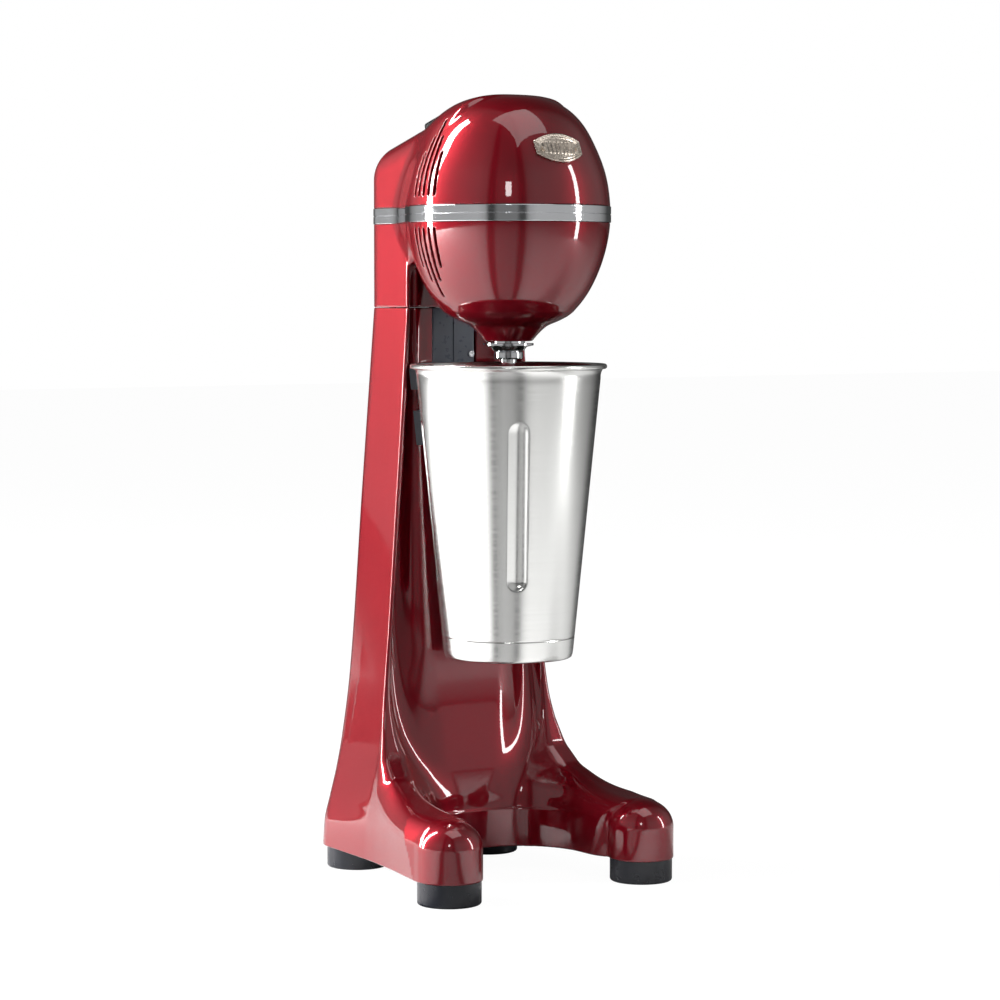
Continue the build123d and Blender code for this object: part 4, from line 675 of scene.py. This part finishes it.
def moulded(name, colour, rough, grain=1600, depth=0.08, sheen=0.0):
    finish = Finish(name, colour, rough, 0.0, Specular_IOR_Level=0.5, Sheen_Weight=sheen)
    tone = [tuple(c * k for c in colour) for k in (0.92, 1.08)]
    finish.colours(finish.noise(45, 4), (0.3, tone[0]), (0.7, tone[1]))
    finish.roughness(finish.spread(finish.noise(220, 4), rough * 0.9, min(1.0, rough * 1.12)))
    finish.bump(finish.noise(grain, 2), depth, 0.0005)
    return finish.material


def clear_plastic():
    finish = Finish("clear_boot_plastic", (0.97, 0.98, 0.99), 0.05, 0.0, Transmission_Weight=1.0, IOR=1.35)
    finish.roughness(finish.spread(finish.noise(300, 3), 0.02, 0.08))
    finish.bump(finish.noise(500, 2), 0.02, 0.0004)
    return finish.material


def wound_copper():
    finish = Finish("enamelled_copper", (0.55, 0.20, 0.08), 0.3, 0.9, Coat_Weight=0.5)
    strands = finish.noise(1.0, 2, (900, 900, 120))
    finish.colours(strands, (0.3, (0.30, 0.09, 0.03)), (0.65, (0.66, 0.27, 0.11)))
    finish.bump(strands, 0.5, 0.0006)
    return finish.material


def laminated():
    finish = Finish("steel_laminations", (0.20, 0.20, 0.22), 0.5, 0.9)
    layers = finish.noise(1.0, 1, (8, 8, 2600))
    finish.colours(layers, (0.4, (0.10, 0.10, 0.11)), (0.6, (0.30, 0.30, 0.33)))
    finish.bump(layers, 0.4, 0.0005)
    return finish.material


LOOKS = {
    "red_paint": paint(),
    "chrome_trim": chrome(),
    "stainless": cup_steel(),
    "champagne_nickel": satin_metal("champagne_nickel_plate", (0.66, 0.58, 0.50), 0.26, 900, 0.03),
    "foot_rubber": moulded("foot_rubber", (0.007, 0.008, 0.012), 0.30, 1500, 0.06),
    "panel_plastic": moulded("panel_grey_plastic", (0.080, 0.095, 0.125), 0.30, 1400, 0.05),
    "black_plastic": moulded("black_moulded_plastic", (0.012, 0.012, 0.015), 0.36, 1800, 0.06),
    "clear_cover": clear_plastic(),
    "zinc_steel": satin_metal("zinc_plated_steel", (0.58, 0.59, 0.61), 0.30),
    "bearing_steel": chrome("ground_bearing_steel", (0.62, 0.63, 0.64), 0.12),
    "lamination": laminated(),
    "copper": wound_copper(),
    "carbon": moulded("pressed_carbon", (0.02, 0.02, 0.02), 0.6, 2200, 0.2),
    "cast_bracket": satin_metal("bare_cast_aluminium", (0.58, 0.59, 0.60), 0.42, 500, 0.15),
    "wire_sleeve": moulded("wire_sleeve", (0.03, 0.03, 0.036), 0.4, 900, 0.05),
    "seal_rubber": moulded("seal_rubber", (0.015, 0.015, 0.015), 0.6, 1200, 0.1),
}
for part in frame["record"]["subparts"]:
    node = nodes[part["node"]]
    node.data.materials.clear()
    node.data.materials.append(LOOKS[part["material_slot"]])


# ------------------------------------------------------------------ castings
def make_castings():
    widest = FRONT_HALF(SEAM_Z)
    across = mirrored(steps(0, (15.6, 1.6), (17.2, 0.4), (34, 1.5), (45, 0.5), (54, 1.0)))
    along = steps(-64, (-42, 1.5), (36, 1.7), (44, 1.2), (58, 0.75), (67, 1.0), (96, 2.6), (121, 1.8))
    up = steps(
        BASE_Z - 1.5,
        (17, 0.6), (34, 1.7), (52, 1.25), (66, 1.6), (130, 2.2), (335, 4.4), (349, 2.0), (353, 0.5),
    )
    stand = skin("stand_casting_skin", stand_field, across, along, up, lambda z: FRONT_HALF(z) / widest)
    dress(stand, "stand", LOOKS["red_paint"], "red_paint", "stand_casting")

    across = mirrored(steps(0, (34, 2.0), (46, 0.8), (64, 1.4)))
    along = steps(-64, (-14, 2.0), (14, 0.5), (40, 1.8), (66, 0.9), (100, 2.0))
    up = steps(330, (353, 0.75), (398, 1.6), (402, 0.8), (BAND_Z + 0.5, 0.7))
    head = skin("head_casting_skin", head_field, across, along, up)
    dress(head, "stand", LOOKS["red_paint"], "red_paint", "head_casting")
    up = steps(BAND_Z - 0.5, (416, 0.7), (470, 1.6), (482, 1.0))
    cover = skin("top_cover_skin", cover_field, across, along, up)
    dress(cover, "stand", LOOKS["red_paint"], "red_paint", "top_cover")


# ------------------------------------------------------------------ cup
CUP_LOW_Z, CUP_RIM_Z = 138.5, 316.6
CUP_LOW_R, CUP_HIGH_R = 39.2, 56.9
CUP_WALL, CUP_BEAD = 1.0, 1.6
# The rolled foot as (radius, height over the lowest point), and the pressed line over it as
# (height, depth); then the outside and inside below the rim's bead, and the floor's inside.
CUP_FOOT = [(0, 1.2), (33, 1.2), (34.5, 0.9), (35.6, 0.2), (36.6, 0), (37.6, 0.15), (38.6, 0.8), (39.1, 1.8)]
CUP_FOOT_HEIGHT = 4
CUP_LINE = [(150.9, 0), (151.4, 0), (151.7, -0.3), (152.0, -0.3), (152.3, 0), (152.8, 0)]
CUP_UNDER_BEAD = [(56.2, 311.6), (56.7, 313.4), (57.3, 314.6)]
CUP_IN_BEAD = [(56.3, 315.6), (55.9, 314.2), (55.4, 312.2)]
CUP_FLOOR_EDGE_Z = 145
CUP_FLOOR = [(37.9, 141.8), (37.0, 140.9), (36.0, 140.5), (0, 140.5)]

FLUTE_LOW_Z, FLUTE_HIGH_Z = 189.0, 278.0
FLUTE_ROUND_R, FLUTE_SET_OUT = 10.0, 8.0
FLUTE_REACH, FLUTE_EASE = 9.9, 0.02
FLUTE_START_Z = FLUTE_LOW_Z - 12
FLUTE_BEARINGS = [-27, 63, 153, 243]


def flutes(angle, z, radius):
    """How far the four pressed flutes pull the cup's wall in: each is a round channel with round ends."""
    pull = np.zeros_like(angle)
    middle, half = (FLUTE_LOW_Z + FLUTE_HIGH_Z) / 2, (FLUTE_HIGH_Z - FLUTE_LOW_Z) / 2
    for bearing in FLUTE_BEARINGS:
        turn = (angle - math.radians(bearing) + math.pi) % (2 * math.pi) - math.pi
        beyond = np.maximum(np.abs(z - middle) - half, 0)
        away = np.minimum(np.hypot(turn * radius, beyond), FLUTE_REACH)
        depth = np.sqrt(FLUTE_ROUND_R**2 - away**2) - FLUTE_SET_OUT
        pull += 0.5 * (depth + np.sqrt(depth**2 + FLUTE_EASE))
    return np.where(z > FLUTE_START_Z, -pull, 0)


def cup_wall(z):
    """The cup's outer radius at a height."""
    return CUP_LOW_R + (CUP_HIGH_R - CUP_LOW_R) * (z - CUP_LOW_Z) / (CUP_RIM_Z - CUP_LOW_Z)


def make_cup():
    heights = list(steps(154, (178, 4), (192, 1.0), (275, 3.0), (289, 1.0), (309, 3.3)))
    outline = [(radius, CUP_LOW_Z + lift) for radius, lift in CUP_FOOT]
    outline.append((cup_wall(CUP_LOW_Z + CUP_FOOT_HEIGHT), CUP_LOW_Z + CUP_FOOT_HEIGHT))
    outline += [(cup_wall(z) + depth, z) for z, depth in CUP_LINE]
    outline += [(cup_wall(z), z) for z in heights]
    outline += CUP_UNDER_BEAD
    for turn in range(-110, 171, 20):
        a = math.radians(turn)
        outline.append((CUP_HIGH_R + CUP_BEAD + CUP_BEAD * math.cos(a), CUP_RIM_Z + CUP_BEAD * math.sin(a)))
    outline += CUP_IN_BEAD
    outline += [(cup_wall(z) - CUP_WALL, z) for z in reversed(heights)]
    outline.append((cup_wall(CUP_FLOOR_EDGE_Z) - CUP_WALL, CUP_FLOOR_EDGE_Z))
    outline += CUP_FLOOR
    angles = []
    for bearing in FLUTE_BEARINGS:
        angles += list(bearing + np.arange(-11, 11, 0.75)) + list(bearing + np.arange(11.5, 78.5, 3.2))
    cup = turned("malt_cup", outline, angles, shift=flutes)
    dress(cup, "cup", LOOKS["stainless"], "stainless", "cup")


# ------------------------------------------------------------------ trim band and badge
BAND_PROUD, BAND_SUNK, BAND_EDGE_ROUND = 0.38, 0.8, 0.4
BAND_LINE_HALF, BAND_LINE_DEPTH = 0.2, 0.5
BAND_LINE_EASE, BAND_LINE_MOUTH = 0.06, 0.14

BADGE_Z = 446.5
BADGE_HALF_WIDTH, BADGE_HALF_HEIGHT, BADGE_END_HEIGHT = 15.9, 8.4, 3.8
BADGE_BACK, BADGE_FACE = 0.12, 1.15
BADGE_RIM, BADGE_RIM_LIFT = 1.5, 0.75
BADGE_BEAD_AT, BADGE_BEAD_HALF, BADGE_BEAD_LIFT = 2.3, 0.35, 0.25
BADGE_EDGE_ROUND, BADGE_STEP, BADGE_END_EVEN = 0.35, 0.5, 0.9
RIB_PITCH, RIB_LIFT, RIB_HALF_HEIGHT, RIB_INSET, RIB_FADE = 2.6, 0.55, 3.6, 3.0, 0.4


def head_surface(place, inner, outer):
    """Where a line leaves the head: place(distance) gives its points, from inner to outer."""
    for _ in range(40):
        middle = (inner + outer) / 2
        outside = head_outer(*place(middle)) > 0
        outer = np.where(outside, middle, outer)
        inner = np.where(outside, inner, middle)
    return (inner + outer) / 2


def make_band():
    turns = np.radians(np.arange(0, 360, 0.75))
    out_x, out_y = np.sin(turns), -np.cos(turns)
    level = np.full(len(turns), BAND_Z)
    reach = head_surface(lambda far: (far * out_x, far * out_y, level), 40.0, 140.0)
    path = np.stack([reach * out_x, reach * out_y], 1)
    run = np.roll(path, -1, 0) - np.roll(path, 1, 0)
    normal = np.stack([run[:, 1], -run[:, 0]], 1) / np.linalg.norm(run, axis=1)[:, None]

    corners = [
        (-BAND_SUNK, -BAND_HALF), (BAND_PROUD, -BAND_HALF), (BAND_PROUD, BAND_HALF), (-BAND_SUNK, BAND_HALF),
    ]
    section = eased(corners, BAND_EDGE_ROUND, 4)
    half, ease = BAND_LINE_HALF, BAND_LINE_EASE
    bottom = BAND_PROUD - BAND_LINE_DEPTH
    upper = [(bottom, half), (BAND_PROUD - ease, half + ease), (BAND_PROUD, half + BAND_LINE_MOUTH)]
    line = [(offset, -lift) for offset, lift in reversed(upper)] + upper
    split = next(i for i, (offset, lift) in enumerate(section) if offset > BAND_PROUD - 1e-6 and lift > 0)
    section = section[:split] + line + section[split:]
    points = [
        (*(path[i] + normal[i] * offset), BAND_Z + lift)
        for offset, lift in section for i in range(len(path))
    ]
    count = len(path)
    faces = [
        [s * count + i, s * count + (i + 1) % count, (s + 1) % len(section) * count + (i + 1) % count,
         (s + 1) % len(section) * count + i]
        for s in range(len(section)) for i in range(count)
    ]
    band = weighted(mesh_object("trim_band_strip", points, faces))
    dress(band, "stand", LOOKS["chrome_trim"], "chrome_trim", "trim_band")


def badge_height(x, arch, lift):
    """How far the badge's face stands off the ball: a raised rim, a fine bead and upright ribs."""
    edge = np.minimum((BADGE_HALF_WIDTH - np.abs(x)) * BADGE_END_EVEN, arch - np.abs(lift))
    rim = np.clip((BADGE_RIM - edge) / BADGE_STEP, 0, 1)
    rim = rim * rim * (3 - 2 * rim)
    bead = np.clip(1 - np.abs(edge - BADGE_BEAD_AT) / BADGE_BEAD_HALF, 0, 1)
    ribs = 0.5 + 0.5 * np.cos(2 * math.pi * x / RIB_PITCH)
    field = np.clip((RIB_HALF_HEIGHT - np.abs(lift)) / RIB_FADE, 0, 1)
    field = field * np.clip((edge - RIB_INSET) / BADGE_STEP, 0, 1)
    fall = np.clip((BADGE_EDGE_ROUND - edge) / BADGE_EDGE_ROUND, 0, 1)
    raised = BADGE_RIM_LIFT * rim + BADGE_BEAD_LIFT * bead + RIB_LIFT * field * ribs
    return BADGE_FACE + raised - BADGE_EDGE_ROUND * fall


def make_badge():
    """A lens-shaped plate, bent to the ball."""
    across = steps(-BADGE_HALF_WIDTH, (BADGE_HALF_WIDTH, 0.25))
    up = np.linspace(-1, 1, 61)
    bulge = (BADGE_HALF_HEIGHT - BADGE_END_HEIGHT) * (1 - (across / BADGE_HALF_WIDTH) ** 2)
    arch = (BADGE_END_HEIGHT + bulge)[:, None]
    x = np.repeat(across[:, None], len(up), 1)
    lift = arch * up[None, :]
    z = BADGE_Z + lift
    seat = head_surface(lambda y: (x, y, z), np.full_like(x, -20.0), np.full_like(x, -90.0))
    points = np.stack([x, seat, z], 2).reshape(-1, 3)
    slope = sloped(head_outer, points)[1]
    slope /= np.linalg.norm(slope, axis=1)[:, None]
    front = points + slope * badge_height(x, arch, lift).reshape(-1, 1)
    back = points + slope * BADGE_BACK
    rows, columns = x.shape
    count = rows * columns
    index = np.arange(count).reshape(rows, columns)
    corners = [index[:-1, :-1], index[1:, :-1], index[1:, 1:], index[:-1, 1:]]
    faces = np.stack(corners, 2).reshape(-1, 4).tolist()
    faces += [[count + c for c in reversed(face)] for face in faces]
    loop = list(index[:, 0]) + list(index[-1, 1:]) + list(index[-2::-1, -1]) + list(index[0, -2:0:-1])
    for here, there in zip(loop, loop[1:] + loop[:1]):
        faces.append([int(there), int(here), int(here) + count, int(there) + count])
    badge = weighted(mesh_object("badge_plate", np.concatenate([front, back]), faces))
    dress(badge, "stand", LOOKS["champagne_nickel"], "champagne_nickel", "badge")


make_castings()
make_cup()
make_band()
make_badge()


# ------------------------------------------------------------------ stage, light and camera
# The camera's bearing and downward pitch in degrees, and its place in metres from the spindle axis.
CAMERA_BEARING, CAMERA_PITCH = -123.65, 3.76
CAMERA_PLACE = (-1.0887, -1.6262, 0.3635)
CAMERA_LENS, CAMERA_SENSOR = 115.6, 36.0

# The room's brightness by bearing, in degrees from the camera's own, and by rise, as a sine.
ROOM_STRENGTH = 0.46
ROOM_ROUND = [
    (-180, 0.10), (-150, 0.14), (-138, 0.6), (-125, 0.9), (-98, 0.9), (-85, 0.9), (-35, 1.0), (-26, 0.80),
    (-22, 0.12), (-17, 0.12), (-12, 0.42), (9, 0.42), (13, 0.15), (18, 0.15), (23, 0.80), (32, 1.0),
    (100, 0.95), (125, 0.70), (145, 0.14), (180, 0.10),
]
ROOM_UP = [(-1.0, 0.30), (-0.35, 0.55), (0.0, 0.95), (0.45, 1.0), (0.62, 0.75), (0.8, 0.55), (1.0, 0.45)]

FLOOR_HALF = 9.0
FLOOR_REFLECTED = 0.72
FLOOR_GLOW, FLOOR_GLOW_SHARE = 1.04, 0.93


def ramp(tree, value, low, high, stops):
    """A grey level that depends on a value between low and high, through at most 32 stops."""
    spread = tree.nodes.new("ShaderNodeMapRange")
    spread.inputs["From Min"].default_value = low
    spread.inputs["From Max"].default_value = high
    tree.links.new(value, spread.inputs["Value"])
    node = tree.nodes.new("ShaderNodeValToRGB")
    points = node.color_ramp.elements
    while len(points) > 1:
        points.remove(points[-1])
    for number, (place, level) in enumerate(stops):
        share = (place - low) / (high - low)
        point = points[0] if number == 0 else points.new(share)
        point.position = share
        point.color = (level, level, level, 1)
    tree.links.new(spread.outputs["Result"], node.inputs["Fac"])
    return node.outputs["Color"]


def bearing_brightness(tree, direction):
    """Grey level for a direction by its bearing, and its height socket."""
    turn = tree.nodes.new("ShaderNodeMapping")
    turn.vector_type = "POINT"
    turn.inputs["Rotation"].default_value = (0, 0, math.radians(-CAMERA_BEARING))
    tree.links.new(direction, turn.inputs["Vector"])
    split = tree.nodes.new("ShaderNodeSeparateXYZ")
    tree.links.new(turn.outputs["Vector"], split.inputs["Vector"])
    angle = tree.nodes.new("ShaderNodeMath")
    angle.operation = "ARCTAN2"
    tree.links.new(split.outputs["Y"], angle.inputs[0])
    tree.links.new(split.outputs["X"], angle.inputs[1])
    round_stops = [(math.radians(place), level) for place, level in ROOM_ROUND]
    return ramp(tree, angle.outputs["Value"], -math.pi, math.pi, round_stops), split.outputs["Z"]


def room_brightness(tree):
    """The studio's walls as light from each direction: dark beyond the object and in bands by the camera."""
    direction = tree.nodes.new("ShaderNodeTexCoord").outputs["Generated"]
    around, lift = bearing_brightness(tree, direction)
    height = ramp(tree, lift, -1.0, 1.0, ROOM_UP)
    product = tree.nodes.new("ShaderNodeVectorMath")
    product.operation = "MULTIPLY"
    tree.links.new(around, product.inputs[0])
    tree.links.new(height, product.inputs[1])
    return product.outputs["Vector"]


def seen_or_lit(tree, seen, lit, surface):
    """Shows one shader to the camera, and lets another light and reflect in the object."""
    mix = tree.nodes.new("ShaderNodeMixShader")
    path = tree.nodes.new("ShaderNodeLightPath")
    tree.links.new(path.outputs["Is Camera Ray"], mix.inputs["Fac"])
    tree.links.new(lit, mix.inputs[1])
    tree.links.new(seen, mix.inputs[2])
    tree.links.new(mix.outputs["Shader"], surface)


def make_floor():
    mesh = bpy.data.meshes.new("floor")
    corners = [(-1, -1), (1, -1), (1, 1), (-1, 1)]
    mesh.from_pydata([(x * FLOOR_HALF, y * FLOOR_HALF, 0) for x, y in corners], [], [(0, 1, 2, 3)])
    floor = bpy.data.objects.new("floor", mesh)
    bpy.context.scene.collection.objects.link(floor)
    finish = Finish("pale_floor", (0.93, 0.93, 0.93), 0.7)
    finish.bump(finish.noise(40, 3), 0.02, 0.001)
    tree = finish.tree
    # Painted shade: for bounced light and reflections in the object, the floor's colour is darker by
    # bearing, following the room's walls.
    dim = tree.nodes.new("ShaderNodeBsdfDiffuse")
    around, _ = bearing_brightness(tree, finish.place)
    shade = tree.nodes.new("ShaderNodeVectorMath")
    shade.operation = "SCALE"
    shade.inputs["Scale"].default_value = FLOOR_REFLECTED
    tree.links.new(around, shade.inputs[0])
    tree.links.new(shade.outputs["Vector"], dim.inputs["Color"])
    glow = tree.nodes.new("ShaderNodeEmission")
    glow.inputs["Strength"].default_value = FLOOR_GLOW
    pale = tree.nodes.new("ShaderNodeMixShader")
    pale.inputs["Fac"].default_value = FLOOR_GLOW_SHARE
    tree.links.new(finish.shader.outputs["BSDF"], pale.inputs[1])
    tree.links.new(glow.outputs["Emission"], pale.inputs[2])
    surface = tree.nodes["Material Output"].inputs["Surface"]
    seen_or_lit(tree, pale.outputs["Shader"], dim.outputs["BSDF"], surface)
    mesh.materials.append(finish.material)


def make_room():
    world = bpy.data.worlds.new("studio")
    bpy.context.scene.world = world
    world.use_nodes = True
    tree = world.node_tree
    tree.nodes.clear()
    output = tree.nodes.new("ShaderNodeOutputWorld")
    white = tree.nodes.new("ShaderNodeBackground")
    white.inputs["Color"].default_value = (1, 1, 1, 1)
    white.inputs["Strength"].default_value = 1.0
    walls = tree.nodes.new("ShaderNodeBackground")
    tree.links.new(room_brightness(tree), walls.inputs["Color"])
    walls.inputs["Strength"].default_value = ROOM_STRENGTH
    seen_or_lit(tree, white.outputs["Background"], walls.outputs["Background"], output.inputs["Surface"])


def softbox(name, place, aim, width, height, watts, highlight=True):
    """Area light at a place, turned to its aim; without a highlight it isn't seen in reflections."""
    light = bpy.data.lights.new(name, "AREA")
    light.shape = "RECTANGLE"
    light.size = width
    light.size_y = height
    light.energy = watts
    lamp = bpy.data.objects.new(name, light)
    lamp.location = place
    lamp.rotation_euler = (Vector(aim) - Vector(place)).to_track_quat("-Z", "Y").to_euler()
    lamp.visible_glossy = highlight
    bpy.context.scene.collection.objects.link(lamp)


def make_lights():
    low, middle, high = (0, 0.03, 0.2), (0, 0.03, 0.25), (0, 0, 0.3)
    softbox("left_strip", (-1.54, 1.43, 1.15), middle, width=0.38, height=3.2, watts=165)
    softbox("left_fill", (-2.2, -0.15, 0.8), middle, width=2.0, height=2.0, watts=16, highlight=False)
    softbox("left_wash", (-2.2, 0.9, 0.5), low, width=1.0, height=1.6, watts=130, highlight=False)
    softbox("overhead", (0.1, -0.6, 2.3), high, width=1.4, height=1.4, watts=10)
    softbox("right_strip", (1.15, -1.0, 0.55), (0, 0, 0.35), width=0.14, height=1.3, watts=8)
    softbox("front_window", (-1.25, -1.9, 1.1), high, width=0.25, height=0.4, watts=3)


def make_camera():
    view = bpy.data.cameras.new("camera")
    view.lens = CAMERA_LENS
    view.sensor_width = CAMERA_SENSOR
    camera = bpy.data.objects.new("camera", view)
    camera.location = Vector(CAMERA_PLACE) + Vector((0, SPINDLE_Y * MM, 0))
    camera.rotation_euler = (math.radians(90 - CAMERA_PITCH), 0, math.radians(90 + CAMERA_BEARING))
    bpy.context.scene.collection.objects.link(camera)
    bpy.context.scene.camera = camera


make_floor()
make_room()
make_lights()
make_camera()

view_settings = bpy.context.scene.view_settings
view_settings.view_transform = "Standard"
